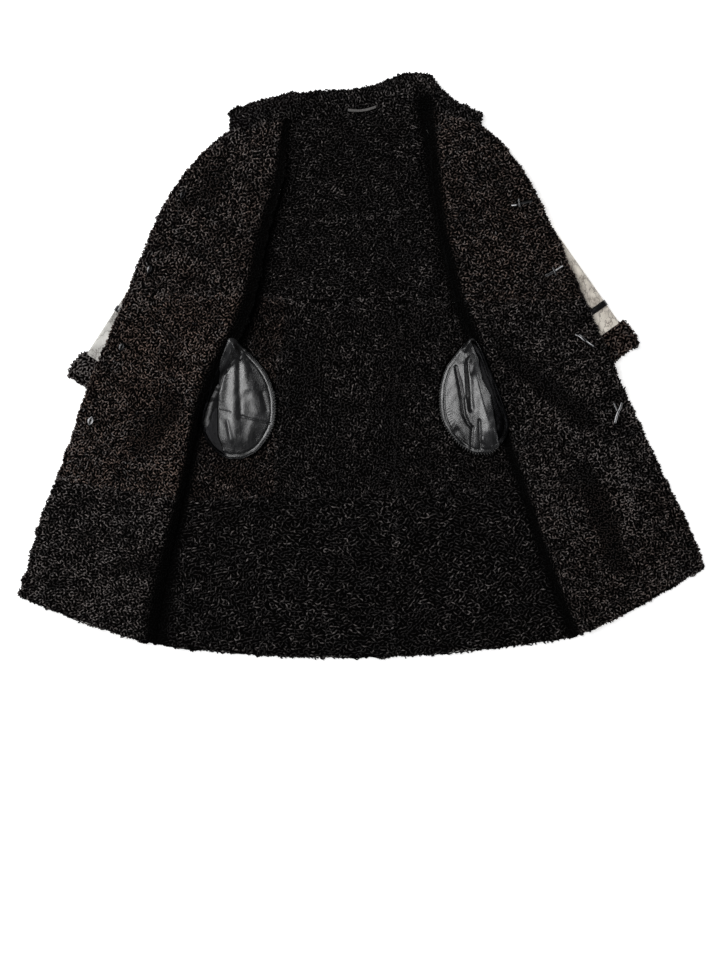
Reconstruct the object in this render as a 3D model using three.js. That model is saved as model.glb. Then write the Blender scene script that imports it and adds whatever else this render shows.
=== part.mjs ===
// A long sheepskin coat, laid open on its back with the fleece side up.
// Millimetres, +Z up, +Y from the hem to the collar. Left and right are the wearer's:
// the right front, with the buttonholes, is at -X, and the left front, with the buttons, at +X.

import * as THREE from 'three';

const { clamp, lerp, smoothstep } = THREE.MathUtils;

// ------------------------------------------------------------------ driving sizes

const PELT = 10; // skin and fleece together
const PRESSED_PELT = 7; // the same where a crease presses it
const PRESS_REACH = 34; // how far from a crease the pelt is pressed
const SEAM = 0.4; // between two pieces that are sewn together
const RIDGE_REACH = 36; // from a crease to the top of the fold beside it

const SLEEVE_WALL = 9;
const SLEEVE_SLIT = 0.6; // between the two layers of a flat sleeve
const STRAP = { thick: 1.6, wide: 12, clear: 0.3 };
const SLEEVE_LIFT = STRAP.thick + STRAP.clear;
const SLEEVE_TOP = SLEEVE_LIFT + 2 * SLEEVE_WALL + SLEEVE_SLIT;
const SUPPORT = SLEEVE_TOP + STRAP.clear + STRAP.thick + SEAM; // where a front lies on a sleeve
const SLEEVE_MARGIN = 40; // a front keeps its full height this far past a sleeve's outline
const BUTTON_MARGIN = 66; // and this far past a button's
const SUPPORT_RAMP = 55; // then down to the floor over this
const CUFF = { depth: 55, wall: 10.6, slit: 0.8, proud: 8, belly: 4 };

const COLLAR_WALL = 12;
const POCKET = { edge: 2.4, belly: 7, clear: 0.7, feel: 13 };
const BINDING = { wide: 4.5, thick: 3.6, clear: 0.7, feel: 9 };
const LOOP = { wide: 5, thick: 1.6, sag: 4, steps: 6 };
const BUTTONHOLE = { long: 20, wide: 11, thick: 2, slitLong: 14, slitWide: 2.4, turn: 70 };
const BUTTON = { radius: 14, rim: 12.6, thick: 5 };
const THONG = { wide: 5, thick: 1.8, sides: 8, steps: 8 };
const TIE = { long: 18, wide: 4.5, thick: 1.8 };

const UP = new THREE.Vector3(0, 0, 1);

// ------------------------------------------------------------------ tables

// Sections across each front, neck to hem: where it leaves the back at the crease, where its free
// edge is, and how high its underside lies at the crease, on the ridge, halfway and at the edge.
const RIGHT_FRONT = [
  { level: 'neck', crease: [-139, 490], edge: [-263, 459], lift: 2, ridge: 12, middle: 10, brim: 2 },
  { level: 'shoulder', crease: [-151, 430], edge: [-306, 425], lift: 4, ridge: 20, middle: 16, brim: 4 },
  { level: 'arm top', crease: [-161, 346], edge: [-374, 343], lift: 14, ridge: 30, middle: 23, brim: 8 },
  { level: 'chest', crease: [-189, 258], edge: [-418, 256], lift: 20, ridge: 33, middle: 24, brim: 8 },
  { level: 'bust', crease: [-213, 134], edge: [-465, 135], lift: 18, ridge: 33, middle: 24, brim: 10 },
  { level: 'waist', crease: [-235, 66], edge: [-493, 70], lift: 8, ridge: 33, middle: 24, brim: 10 },
  { level: 'pocket top', crease: [-289, -18], edge: [-529, -18], lift: 0, ridge: 32, middle: 19, brim: 6 },
  { level: 'pocket', crease: [-317, -98], edge: [-559, -94], lift: 0, ridge: 31, middle: 13, brim: 2 },
  { level: 'pocket end', crease: [-333, -168], edge: [-583, -168], lift: 0, ridge: 30, middle: 9, brim: 0 },
  { level: 'skirt seam', crease: [-355, -274], edge: [-607, -230], lift: 0, ridge: 30, middle: 7, brim: 0 },
  { level: 'skirt', crease: [-377, -370], edge: [-643, -326], lift: 0, ridge: 28, middle: 6, brim: 0 },
  { level: 'low skirt', crease: [-397, -470], edge: [-663, -404], lift: 0, ridge: 25, middle: 5, brim: 0 },
  { level: 'hem', crease: [-411, -560], edge: [-683, -464], lift: 0, ridge: 20, middle: 4, brim: 0 },
];

const LEFT_FRONT = [
  { level: 'neck', crease: [125, 508], edge: [239, 468], lift: 2, ridge: 14, middle: 12, brim: 6 },
  { level: 'shoulder', crease: [137, 436], edge: [279, 433], lift: 4, ridge: 22, middle: 20, brim: 10 },
  { level: 'arm top', crease: [143, 358], edge: [337, 355], lift: 14, ridge: 29, middle: 23, brim: 12 },
  { level: 'chest', crease: [157, 262], edge: [379, 260], lift: 18, ridge: 30, middle: 24, brim: 12 },
  { level: 'bust', crease: [189, 122], edge: [441, 125], lift: 12, ridge: 30, middle: 25, brim: 14 },
  { level: 'waist', crease: [217, 52], edge: [473, 52], lift: 4, ridge: 30, middle: 24, brim: 12 },
  { level: 'pocket top', crease: [241, -16], edge: [503, -16], lift: 0, ridge: 29, middle: 18, brim: 8 },
  { level: 'pocket', crease: [263, -90], edge: [539, -94], lift: 0, ridge: 27, middle: 9.6, brim: 4.2 },
  { level: 'pocket end', crease: [291, -168], edge: [573, -168], lift: 0, ridge: 26, middle: 8, brim: 4.4 },
  { level: 'skirt seam', crease: [319, -250], edge: [609, -242], lift: 0, ridge: 25, middle: 8, brim: 4 },
  { level: 'skirt', crease: [355, -364], edge: [649, -322], lift: 0, ridge: 24, middle: 6, brim: 0 },
  { level: 'low skirt', crease: [389, -458], edge: [669, -368], lift: 0, ridge: 22, middle: 5, brim: 0 },
  { level: 'hem', crease: [423, -546], edge: [683, -408], lift: 0, ridge: 18, middle: 4, brim: 0 },
];

// Across the back at the same levels: how far a section sags towards the hem at its middle, and
// where its two upright seams cross it, as shares of its width from the right crease.
const BACK = [
  { level: 'neck', sag: 0, seamA: 0.12, seamB: 0.72 },
  { level: 'shoulder', sag: 2, seamA: 0.12, seamB: 0.72 },
  { level: 'arm top', sag: 4, seamA: 0.13, seamB: 0.72 },
  { level: 'chest', sag: 6, seamA: 0.14, seamB: 0.72 },
  { level: 'bust', sag: 10, seamA: 0.15, seamB: 0.71 },
  { level: 'waist', sag: 8, seamA: 0.18, seamB: 0.7 },
  { level: 'pocket top', sag: 6, seamA: 0.22, seamB: 0.68 },
  { level: 'pocket', sag: 4, seamA: 0.24, seamB: 0.66 },
  { level: 'pocket end', sag: 2, seamA: 0.26, seamB: 0.64 },
  { level: 'skirt seam', sag: 0, seamA: 0.27, seamB: 0.63 },
  { level: 'skirt', sag: 10, seamA: 0.27, seamB: 0.61 },
  { level: 'low skirt', sag: 22, seamA: 0.265, seamB: 0.585 },
  { level: 'hem', sag: 33, seamA: 0.264, seamB: 0.564 },
];

// The pelts' tiers, as places between the levels, counted from 0 at the neck.
const TIERS = [
  { name: 'upper', from: 0, to: 4 },
  { name: 'middle', from: 4, to: 9 },
  { name: 'lower', from: 9, to: 12 },
];
const STEP = 0.5; // between two sections, in levels
const BACK_COLUMNS = [5, 6, 6]; // right of seam A, between the seams, and left of seam B

// Soft troughs across the fronts: their two ends, half width and depth.
const FOLDS = [
  { side: 'right', from: [-318, -14], to: [-452, -170], reach: 24, depth: 5 },
  { side: 'right', from: [-240, 420], to: [-352, 300], reach: 26, depth: 3 },
  { side: 'right', from: [-404, -392], to: [-486, -408], reach: 18, depth: 4 },
  { side: 'left', from: [296, 10], to: [456, -126], reach: 24, depth: 5 },
  { side: 'left', from: [446, -204], to: [520, -394], reach: 24, depth: 4 },
];

// The sleeves: the straight outer edge from shoulder to cuff, the width at the cuff, the stretch
// of the crease that is the armhole, and how far above the cuff its strap sits.
const SLEEVES = [
  { side: 'right', top: [-292, 413], end: [-549, 18], cuffWidth: 150, armhole: [2, 4.5], strapAt: 103 },
  { side: 'left', top: [245, 466], end: [515, 80], cuffWidth: 150, armhole: [1.5, 4], strapAt: 43 },
];
const ARM_SHARE = 0.45; // of the outer edge, taken by the armhole's sections
const ARM_BELOW = 4; // sections from the underarm to the cuff

// The collar's sections along the neck seam. place counts along the seam: 0 to 1 right front,
// 1 to 2 back, 2 to 3 left front. Heights are the underside's, at the seam, in the middle and at
// the free edge.
const COLLAR = [
  { place: 0.02, top: [-261, 502], seam: 2, crown: 6, brim: 2 },
  { place: 0.3, top: [-231, 513], seam: 7, crown: 10, brim: 3 },
  { place: 0.65, top: [-187, 529], seam: 12, crown: 12, brim: 2 },
  { place: 1, top: [-139, 535], seam: 2, crown: 8, brim: 0 },
  { place: 1.22, top: [-82, 541], seam: 0, crown: 4, brim: 0 },
  { place: 1.44, top: [-26, 544], seam: 0, crown: 4, brim: 0 },
  { place: 1.64, top: [24, 551], seam: 0, crown: 8, brim: 1 },
  { place: 1.8, top: [62, 568], seam: 0, crown: 20, brim: 8 },
  { place: 1.92, top: [100, 579], seam: 1, crown: 28, brim: 16 },
  { place: 2, top: [138, 572], seam: 2, crown: 28, brim: 16 },
  { place: 2.3, top: [163, 535], seam: 10, crown: 20, brim: 10 },
  { place: 2.6, top: [196, 516], seam: 14, crown: 14, brim: 6 },
  { place: 2.98, top: [239, 496], seam: 6, crown: 9, brim: 4 },
];

// The pocket bags, a section for each row from tip to foot.
const POCKETS = [
  {
    side: 'right',
    rows: [
      { y: 48, from: -263, to: -255 },
      { y: 24, from: -273, to: -230 },
      { y: -6, from: -284, to: -201 },
      { y: -38, from: -296, to: -182 },
      { y: -78, from: -308, to: -173 },
      { y: -122, from: -319, to: -176 },
      { y: -154, from: -309, to: -192 },
      { y: -178, from: -289, to: -212 },
      { y: -191, from: -265, to: -240 },
    ],
  },
  {
    side: 'left',
    rows: [
      { y: 46, from: 213, to: 225 },
      { y: 24, from: 197, to: 238 },
      { y: -6, from: 172, to: 250 },
      { y: -44, from: 159, to: 267 },
      { y: -80, from: 157, to: 280 },
      { y: -114, from: 162, to: 290 },
      { y: -142, from: 177, to: 289 },
      { y: -166, from: 199, to: 275 },
      { y: -181, from: 226, to: 256 },
    ],
  },
];

// Buttonholes on the right front, and the thongs and buttons across from them on the left front.
const CLOSURES = [
  { name: 'top', hole: [-355, 332], button: [317, 312] },
  { name: 'chest', hole: [-421, 184], button: [383, 192] },
  { name: 'waist', hole: [-477, 30], button: [442, 44] },
  { name: 'hip', hole: [-539, -116], button: [509, -98] },
];

// The button thongs, flat laces that come up through the left front, in the finished part's frame:
// the route of each one's centre line over the fleece, and its short other end, which crosses it.
const THONGS = [
  {
    name: 'top',
    route: [[298, 315, 37.4], [308, 316, 37.4], [317, 319, 37.4], [328, 322, 37.4], [339, 324, 37.4]],
    tie: { x: 313, y: 320, z: 39.6, turn: 96 },
  },
  {
    name: 'chest',
    route: [[366, 175, 37.4], [374, 179, 37.4], [383, 184, 37.4], [392, 190, 37.4], [400, 195, 37.4]],
    tie: { x: 383, y: 184, z: 39.6, turn: 110 },
  },
  {
    name: 'waist',
    route: [[425, 59, 38.8], [434, 55, 38.8], [443, 47, 38.8], [451, 41, 38.8], [461, 34, 38.8]],
    tie: { x: 439, y: 53, z: 41, turn: -42 },
  },
  {
    name: 'hip',
    route: [[519, -76, 22], [516, -86, 19.3], [511, -96, 17.6], [508, -105, 17.3], [505, -117, 17.1]],
    tie: { x: 506, y: -85, z: 22, turn: 111 },
  },
];

// ------------------------------------------------------------------ finishes

/** A matt or shiny surface of one colour. */
const finish = (color, roughness) => new THREE.MeshStandardMaterial({ color, roughness, metalness: 0 });

const FLEECE_BLACK = finish(0x1c1a1b, 0.9);
const FLEECE_BROWN = finish(0x2c2221, 0.9);
const FLEECE_CUFF = finish(0x3a3130, 0.9);
const SUEDE = finish(0xb3aca4, 0.95);
const LEATHER = finish(0x16161a, 0.3);
const TAPE = finish(0x8d8882, 0.8);
const HORN = finish(0x2a2420, 0.45);

// ------------------------------------------------------------------ meshes

const coat = new THREE.Group();

/** Adds a named mesh to the coat and gives it back. */
function add(name, geometry, material) {
  const mesh = new THREE.Mesh(geometry, material);
  mesh.name = name;
  coat.add(mesh);
  return mesh;
}

/** Six times the signed volume of the triangles, negative when they are inside out. */
function signedVolume(points, triangles) {
  let sum = 0;
  for (let i = 0; i < triangles.length; i += 3) {
    const [a, b, c] = [0, 1, 2].map((k) => points[triangles[i + k]]);
    sum += a.dot(b.clone().cross(c));
  }
  return sum;
}

/**
 * A closed solid through sections, each a closed loop of as many points. flat gives a loop as
 * points of a plane, for its two end caps.
 */
function loft(sections, flat) {
  const around = sections[0].length;
  const points = sections.flat();
  const triangles = [];
  for (let i = 0; i < sections.length - 1; i += 1) {
    for (let k = 0; k < around; k += 1) {
      const next = (k + 1) % around;
      const [a, b] = [i * around + k, i * around + next];
      triangles.push(a, b, b + around, a, b + around, a + around);
    }
  }
  const lastRing = (sections.length - 1) * around;
  for (const [a, b, c] of THREE.ShapeUtils.triangulateShape(flat(sections[0]), [])) {
    triangles.push(b, a, c);
  }
  for (const [a, b, c] of THREE.ShapeUtils.triangulateShape(flat(sections.at(-1)), [])) {
    triangles.push(lastRing + a, lastRing + b, lastRing + c);
  }
  if (signedVolume(points, triangles) < 0) {
    triangles.reverse();
  }
  const geometry = new THREE.BufferGeometry().setFromPoints(points);
  geometry.setIndex(triangles);
  return geometry;
}

/** A section's loop in its own upright plane: along the section, and up. */
function uprightPlane(loop) {
  const start = loop[0];
  return loop.map((p) => new THREE.Vector2(Math.hypot(p.x - start.x, p.y - start.y), p.z));
}

// ------------------------------------------------------------------ heights

const ray = new THREE.Raycaster();

/** How high some meshes reach at a point, or within reach of it, 0 where they aren't. */
function topHeight(meshes, x, y, reach = 0) {
  let highest = 0;
  const turns = reach > 0 ? 8 : 1;
  for (let i = 0; i < turns; i += 1) {
    const angle = (i / turns) * 2 * Math.PI;
    for (const radius of reach > 0 ? [0, reach / 2, reach] : [0]) {
      const from = new THREE.Vector3(x + radius * Math.cos(angle), y + radius * Math.sin(angle), 500);
      ray.set(from, UP.clone().negate());
      const [hit] = ray.intersectObjects(meshes);
      highest = Math.max(highest, hit ? hit.point.z : 0);
    }
  }
  return highest;
}

// ------------------------------------------------------------------ pelts

/** What a column reads at a place between a table's rows, on a smooth curve through them. */
function along(table, column, place) {
  const last = table.length - 1;
  const row = Math.min(Math.floor(place), last - 1);
  const t = place - row;
  const [before, from, to, after] = [-1, 0, 1, 2].map((k) => column(table[clamp(row + k, 0, last)]));
  const slopeFrom = (to - before) / 2;
  const slopeTo = (after - from) / 2;
  const bend = 2 * (from - to) + slopeFrom + slopeTo;
  const lean = 3 * (to - from) - 2 * slopeFrom - slopeTo;
  return ((bend * t + lean) * t + slopeFrom) * t + from;
}

/** The same for a column of points in plan. */
function pointAlong(table, name, place) {
  const [x, y] = [0, 1].map((axis) => along(table, (row) => row[name][axis], place));
  return new THREE.Vector3(x, y, 0);
}

/** The places of a tier's sections, each STEP from the last. */
function placesOf(from, to) {
  const count = Math.round((to - from) / STEP);
  return Array.from({ length: count + 1 }, (_, i) => from + i * STEP);
}

/** How thick the pelt is at a distance from the crease. */
function peltThickness(fromCrease) {
  return lerp(PRESSED_PELT, PELT, smoothstep(fromCrease, 0, PRESS_REACH));
}

/** How far a section at an end of its tier is drawn back from the seam. */
function seamShift(place, tier) {
  if (place === tier.from && place !== TIERS[0].from) {
    return -SEAM / 2;
  }
  return place === tier.to && place !== TIERS.at(-1).to ? SEAM / 2 : 0;
}

/** A pelt's loop from its points along one section: the underside out, then the top back. */
function peltLoop(columns) {
  const under = columns.map(({ x, y, low }) => new THREE.Vector3(x, y, low));
  const over = columns.map(({ x, y, low, thick }) => new THREE.Vector3(x, y, low + thick));
  return [...under, ...over.reverse()];
}

/** The back's columns at a place: shares of its width, in three stretches between the seams. */
function backShares(place) {
  const knots = [0, along(BACK, (row) => row.seamA, place), along(BACK, (row) => row.seamB, place), 1];
  return BACK_COLUMNS.map((columns, i) =>
    Array.from({ length: columns + 1 }, (_, k) => lerp(knots[i], knots[i + 1], k / columns)),
  );
}

/** One back pelt, over one stretch of columns or several. */
function backPelt(name, tier, stretches, material) {
  const sections = placesOf(tier.from, tier.to).map((place) => {
    const right = pointAlong(RIGHT_FRONT, 'crease', place);
    const left = pointAlong(LEFT_FRONT, 'crease', place);
    const all = backShares(place);
    const shares = stretches.flatMap((index, i) => (i === 0 ? all[index] : all[index].slice(1)));
    return peltLoop(
      shares.map((share, i) => {
        const inset = i === 0 ? SEAM / 2 : i === shares.length - 1 ? -SEAM / 2 : 0;
        const sag = 4 * share * (1 - share) * along(BACK, (row) => row.sag, place);
        return {
          x: lerp(right.x, left.x, share) + inset,
          y: lerp(right.y, left.y, share) - sag + seamShift(place, tier),
          low: 0,
          thick: peltThickness(Math.min(share, 1 - share) * (left.x - right.x)),
        };
      }),
    );
  });
  return add(name, loft(sections, uprightPlane), material);
}

/** The distance from a point to a segment, in plan. */
function distanceToSegment(x, y, ax, ay, bx, by) {
  const [dx, dy] = [bx - ax, by - ay];
  const t = clamp(((x - ax) * dx + (y - ay) * dy) / (dx * dx + dy * dy), 0, 1);
  return Math.hypot(x - ax - t * dx, y - ay - t * dy);
}

/** How far a point is outside an outline in plan, 0 inside it. */
function distanceOutside(x, y, outline) {
  let inside = false;
  let nearest = Infinity;
  outline.forEach((a, i) => {
    const b = outline[(i + 1) % outline.length];
    nearest = Math.min(nearest, distanceToSegment(x, y, a.x, a.y, b.x, b.y));
    if (a.y > y !== b.y > y && x < ((b.x - a.x) * (y - a.y)) / (b.y - a.y) + a.x) {
      inside = !inside;
    }
  });
  return inside ? 0 : nearest;
}

/** How high a front's underside is at one point: its own form, and what it lies on. */
function undersideHeight({ side, table, supports }, place, share, point, width) {
  const ridgeShare = RIDGE_REACH / width;
  const names = ['lift', 'ridge', 'middle', 'brim'];
  const [lift, ridge, middle, brim] = names.map((name) => along(table, (row) => row[name], place));
  let height;
  if (share < ridgeShare) {
    height = lerp(lift, ridge, Math.sin((share / ridgeShare) * (Math.PI / 2)));
  } else if (share < 0.5) {
    height = lerp(ridge, middle, smoothstep(share, ridgeShare, 0.5));
  } else {
    height = lerp(middle, brim, smoothstep(share, 0.5, 1));
  }
  for (const fold of FOLDS.filter((f) => f.side === side)) {
    const off = distanceToSegment(point.x, point.y, ...fold.from, ...fold.to);
    height -= fold.depth * Math.exp(-((off / fold.reach) ** 2));
  }
  const held = supports.map((support) => {
    const off = support.distance(point.x, point.y);
    return support.height * (1 - smoothstep(off, support.margin, support.margin + SUPPORT_RAMP));
  });
  return Math.max(height, ...held, 0);
}

/** One pelt of a front. */
function frontPelt(front, tier, material) {
  const shares = [0, 0.05, 0.1, 0.17, 0.27, 0.4, 0.54, 0.68, 0.84, 1];
  const outward = Math.sign(front.table[0].crease[0]);
  const sections = placesOf(tier.from, tier.to).map((place) => {
    const crease = pointAlong(front.table, 'crease', place);
    const edge = pointAlong(front.table, 'edge', place);
    const width = crease.distanceTo(edge);
    const hemSag = place === TIERS.at(-1).to ? 7 : 0;
    return peltLoop(
      shares.map((share) => {
        const point = crease.clone().lerp(edge, share);
        const inset = share === 0 ? (outward * SEAM) / 2 : 0;
        return {
          x: point.x + inset,
          y: point.y - 4 * share * (1 - share) * hemSag + seamShift(place, tier),
          low: undersideHeight(front, place, share, point, width),
          thick: peltThickness(share * width),
        };
      }),
    );
  });
  return add(`front_${front.side}_${tier.name}`, loft(sections, uprightPlane), material);
}

// ------------------------------------------------------------------ sleeves

/** A flat fold of two walls in one upright section, open towards its inner end. */
function foldLoop(inner, outer, low, wall, slit) {
  const width = inner.distanceTo(outer);
  const radius = wall + slit / 2;
  const middle = low + radius;
  const turn = [-60, -25, 25, 60].map((degrees) => THREE.MathUtils.degToRad(degrees));
  const run = [0, 0.3, 0.65].map((share) => share * (width - radius));
  const plan = [
    ...run.map((s) => [s, low]),
    [width - radius, low],
    ...turn.map((angle) => [width - radius + radius * Math.cos(angle), middle + radius * Math.sin(angle)]),
    [width - radius, middle + radius],
    ...run.toReversed().map((s) => [s, middle + radius]),
    ...run.map((s) => [s, middle + slit / 2]),
    [width - radius, middle + slit / 2],
    [width - radius, middle - slit / 2],
    ...run.toReversed().map((s) => [s, middle - slit / 2]),
  ];
  return plan.map(([s, z]) => inner.clone().lerp(outer, s / width).setZ(z));
}

/** The inner and outer ends of a sleeve's sections, from the armhole to the cuff. */
function sleeveSections(spec, front) {
  const top = new THREE.Vector3(...spec.top, 0);
  const end = new THREE.Vector3(...spec.end, 0);
  const outward = Math.sign(top.x);
  const down = end.clone().sub(top).normalize();
  const inwards = new THREE.Vector3(down.y * outward, -down.x * outward, 0);
  const cuffInner = end.clone().addScaledVector(inwards, spec.cuffWidth);
  const armPlaces = placesOf(...spec.armhole);
  const sections = armPlaces.map((place, i) => ({
    inner: pointAlong(front, 'crease', place).add(new THREE.Vector3(outward * SEAM, 0, 0)),
    outer: top.clone().lerp(end, (ARM_SHARE * i) / (armPlaces.length - 1)),
  }));
  const underarm = sections.at(-1).inner;
  for (let i = 1; i <= ARM_BELOW; i += 1) {
    sections.push({
      inner: underarm.clone().lerp(cuffInner, i / ARM_BELOW),
      outer: top.clone().lerp(end, lerp(ARM_SHARE, 1, i / ARM_BELOW)),
    });
  }
  return { sections, down, inwards, end, cuffInner };
}

/** A sleeve, its cuff and its strap, and how they hold up the front that lies on them. */
function sleeve(spec, front) {
  const { sections, down, inwards, end, cuffInner } = sleeveSections(spec, front);
  const loopAt = ({ inner, outer }) => foldLoop(inner, outer, SLEEVE_LIFT, SLEEVE_WALL, SLEEVE_SLIT);
  const loops = sections.map(loopAt);
  const tube = add(`sleeve_${spec.side}`, loft(loops, uprightPlane), SUEDE);

  const cuffLoops = [0, 0.5, 1].map((share) => {
    const reach = CUFF.proud + CUFF.belly * Math.sin(Math.PI * share);
    const travel = down.clone().multiplyScalar(lerp(SEAM, CUFF.depth, share));
    const inner = cuffInner.clone().add(travel).addScaledVector(inwards, reach);
    const outer = end.clone().add(travel).addScaledVector(inwards, -reach);
    return foldLoop(inner, outer, 0, CUFF.wall, CUFF.slit);
  });
  const cuff = add(`cuff_${spec.side}`, loft(cuffLoops, uprightPlane), FLEECE_CUFF);

  const underarm = sections.at(-1 - ARM_BELOW).inner;
  const widths = [0, STRAP.wide].map((wide) => {
    const outer = end.clone().addScaledVector(down, -spec.strapAt - wide);
    return widthAt(outer, inwards, underarm, cuffInner);
  });
  const strapOuter = end.clone().addScaledVector(down, -spec.strapAt);
  add(`strap_${spec.side}`, strapRing(strapOuter, inwards, down, Math.max(...widths)), LEATHER);

  const tip = down.clone().multiplyScalar(CUFF.depth);
  const outline = [
    ...sections.map(({ outer }) => outer),
    end.clone().add(tip).addScaledVector(inwards, -CUFF.proud),
    cuffInner.clone().add(tip).addScaledVector(inwards, CUFF.proud),
    ...sections.map(({ inner }) => inner).toReversed(),
  ];
  const distance = (x, y) => distanceOutside(x, y, outline);
  const support = { height: SUPPORT, margin: SLEEVE_MARGIN, distance };
  return { meshes: [tube, cuff], support };
}

/** How far it is from a point, along a direction, to the line through two others. */
function widthAt(point, direction, a, b) {
  const line = b.clone().sub(a);
  const to = a.clone().sub(point);
  return (to.x * line.y - to.y * line.x) / (direction.x * line.y - direction.y * line.x);
}

/**
 * The strap round a flat sleeve: a ring of leather, its width along the sleeve. The sleeve's fold
 * is round, and its seam, at the ring's inner end, is square.
 */
function strapRing(outer, inwards, down, width) {
  const stadium = (Path, grow) => {
    const radius = (SLEEVE_TOP - SLEEVE_LIFT) / 2 + grow;
    const path = new Path();
    path.absarc(width - STRAP.clear, 0, radius, -Math.PI / 2, Math.PI / 2);
    path.absarc(radius - grow, 0, radius, Math.PI / 2, (3 * Math.PI) / 2);
    path.closePath();
    return path;
  };
  const shape = stadium(THREE.Shape, STRAP.clear + STRAP.thick);
  shape.holes.push(stadium(THREE.Path, STRAP.clear));
  const options = { depth: STRAP.wide, bevelEnabled: false, curveSegments: 8 };
  const ring = new THREE.ExtrudeGeometry(shape, options);
  const lengthwise = new THREE.Vector3().crossVectors(inwards, UP);
  const start = outer.clone();
  if (lengthwise.dot(down) > 0) {
    start.addScaledVector(down, -STRAP.wide);
  }
  start.z = (SLEEVE_TOP + SLEEVE_LIFT) / 2;
  ring.applyMatrix4(new THREE.Matrix4().makeBasis(inwards, UP, lengthwise).setPosition(start));
  return ring;
}

// ------------------------------------------------------------------ collar

/** A point of the neck seam: 0 to 1 right front, 1 to 2 back, 2 to 3 left front. */
function neckPoint(place) {
  const corners = [
    pointAlong(RIGHT_FRONT, 'edge', 0),
    pointAlong(RIGHT_FRONT, 'crease', 0),
    pointAlong(LEFT_FRONT, 'crease', 0),
    pointAlong(LEFT_FRONT, 'edge', 0),
  ];
  const span = Math.min(Math.floor(place), corners.length - 2);
  return corners[span].clone().lerp(corners[span + 1], place - span);
}

/** The collar, lofted from the neck seam to its free edge. */
function collar() {
  const shares = [0, 0.25, 0.5, 0.75, 1];
  const sections = COLLAR.map((row) => {
    const foot = neckPoint(row.place).add(new THREE.Vector3(0, SEAM, 0));
    const top = new THREE.Vector3(...row.top, 0);
    return peltLoop(
      shares.map((share) => {
        const point = foot.clone().lerp(top, share);
        const [from, to] = share < 0.5 ? [row.seam, row.crown] : [row.brim, row.crown];
        return {
          x: point.x,
          y: point.y,
          low: lerp(from, to, Math.sin(Math.min(share, 1 - share) * Math.PI)),
          thick: share === 1 ? COLLAR_WALL * 0.7 : COLLAR_WALL,
        };
      }),
    );
  });
  return add('collar', loft(sections, uprightPlane), FLEECE_BLACK);
}

// ------------------------------------------------------------------ what lies on the pelts

/** A pocket bag: two leather layers lying in the crease and on the back. */
function pocketBag({ side, rows }) {
  const shares = [0, 0.07, 0.15, 0.25, 0.4, 0.55, 0.7, 0.8, 0.88, 0.94, 1];
  const sections = placesOf(0, rows.length - 1).map((place) => {
    const [y, from, to] = ['y', 'from', 'to'].map((name) => along(rows, (row) => row[name], place));
    const fullness = Math.sin((Math.PI * (place + 0.5)) / rows.length);
    return peltLoop(
      shares.map((share) => {
        const x = lerp(from, to, share);
        return {
          x,
          y,
          low: topHeight(pelts, x, y, POCKET.feel) + POCKET.clear,
          thick: lerp(POCKET.edge, POCKET.belly, fullness * Math.sin(Math.PI * share)),
        };
      }),
    );
  });
  add(`pocket_${side}`, loft(sections, uprightPlane), LEATHER);
}

/** The binding along the free edge of a pocket bag, from its tip to its foot. */
function pocketBinding({ side, rows }) {
  const [edge, outward] = side === 'right' ? ['to', 1] : ['from', -1];
  const edgeOf = (place) => {
    const [x, y] = [edge, 'y'].map((name) => along(rows, (row) => row[name], place));
    return new THREE.Vector3(x, y, 0);
  };
  const places = placesOf(STEP, rows.length - 1 - STEP);
  const sections = places.map((place) => {
    const tangent = edgeOf(place + STEP).sub(edgeOf(place - STEP)).normalize();
    const across = new THREE.Vector3(-tangent.y * outward, tangent.x * outward, 0);
    const near = edgeOf(place).addScaledVector(across, BINDING.clear);
    const far = near.clone().addScaledVector(across, BINDING.wide);
    const heights = [near, far].map(({ x, y }) => topHeight(pelts, x, y, BINDING.feel));
    const low = Math.max(...heights) + POCKET.clear;
    return peltLoop([near, far].map(({ x, y }) => ({ x, y, low, thick: BINDING.thick })));
  });
  add(`pocket_binding_${side}`, loft(sections, uprightPlane), LEATHER);
}

/** The hanger loop, a tape over the neck seam. */
function hangerLoop() {
  const [from, to] = [new THREE.Vector3(-27, 504, 0), new THREE.Vector3(29, 510, 0)];
  const sections = Array.from({ length: LOOP.steps + 1 }, (_, i) => {
    const share = i / LOOP.steps;
    const middle = from.clone().lerp(to, share);
    middle.y -= LOOP.sag * Math.sin(Math.PI * share);
    const low = topHeight(pelts, middle.x, middle.y, LOOP.wide * 0.7) + SEAM;
    const edge = (side) => ({ x: middle.x, y: middle.y + (side * LOOP.wide) / 2, low, thick: LOOP.thick });
    return peltLoop([-1, 1].map(edge));
  });
  add('hanger_loop', loft(sections, uprightPlane), TAPE);
}

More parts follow.
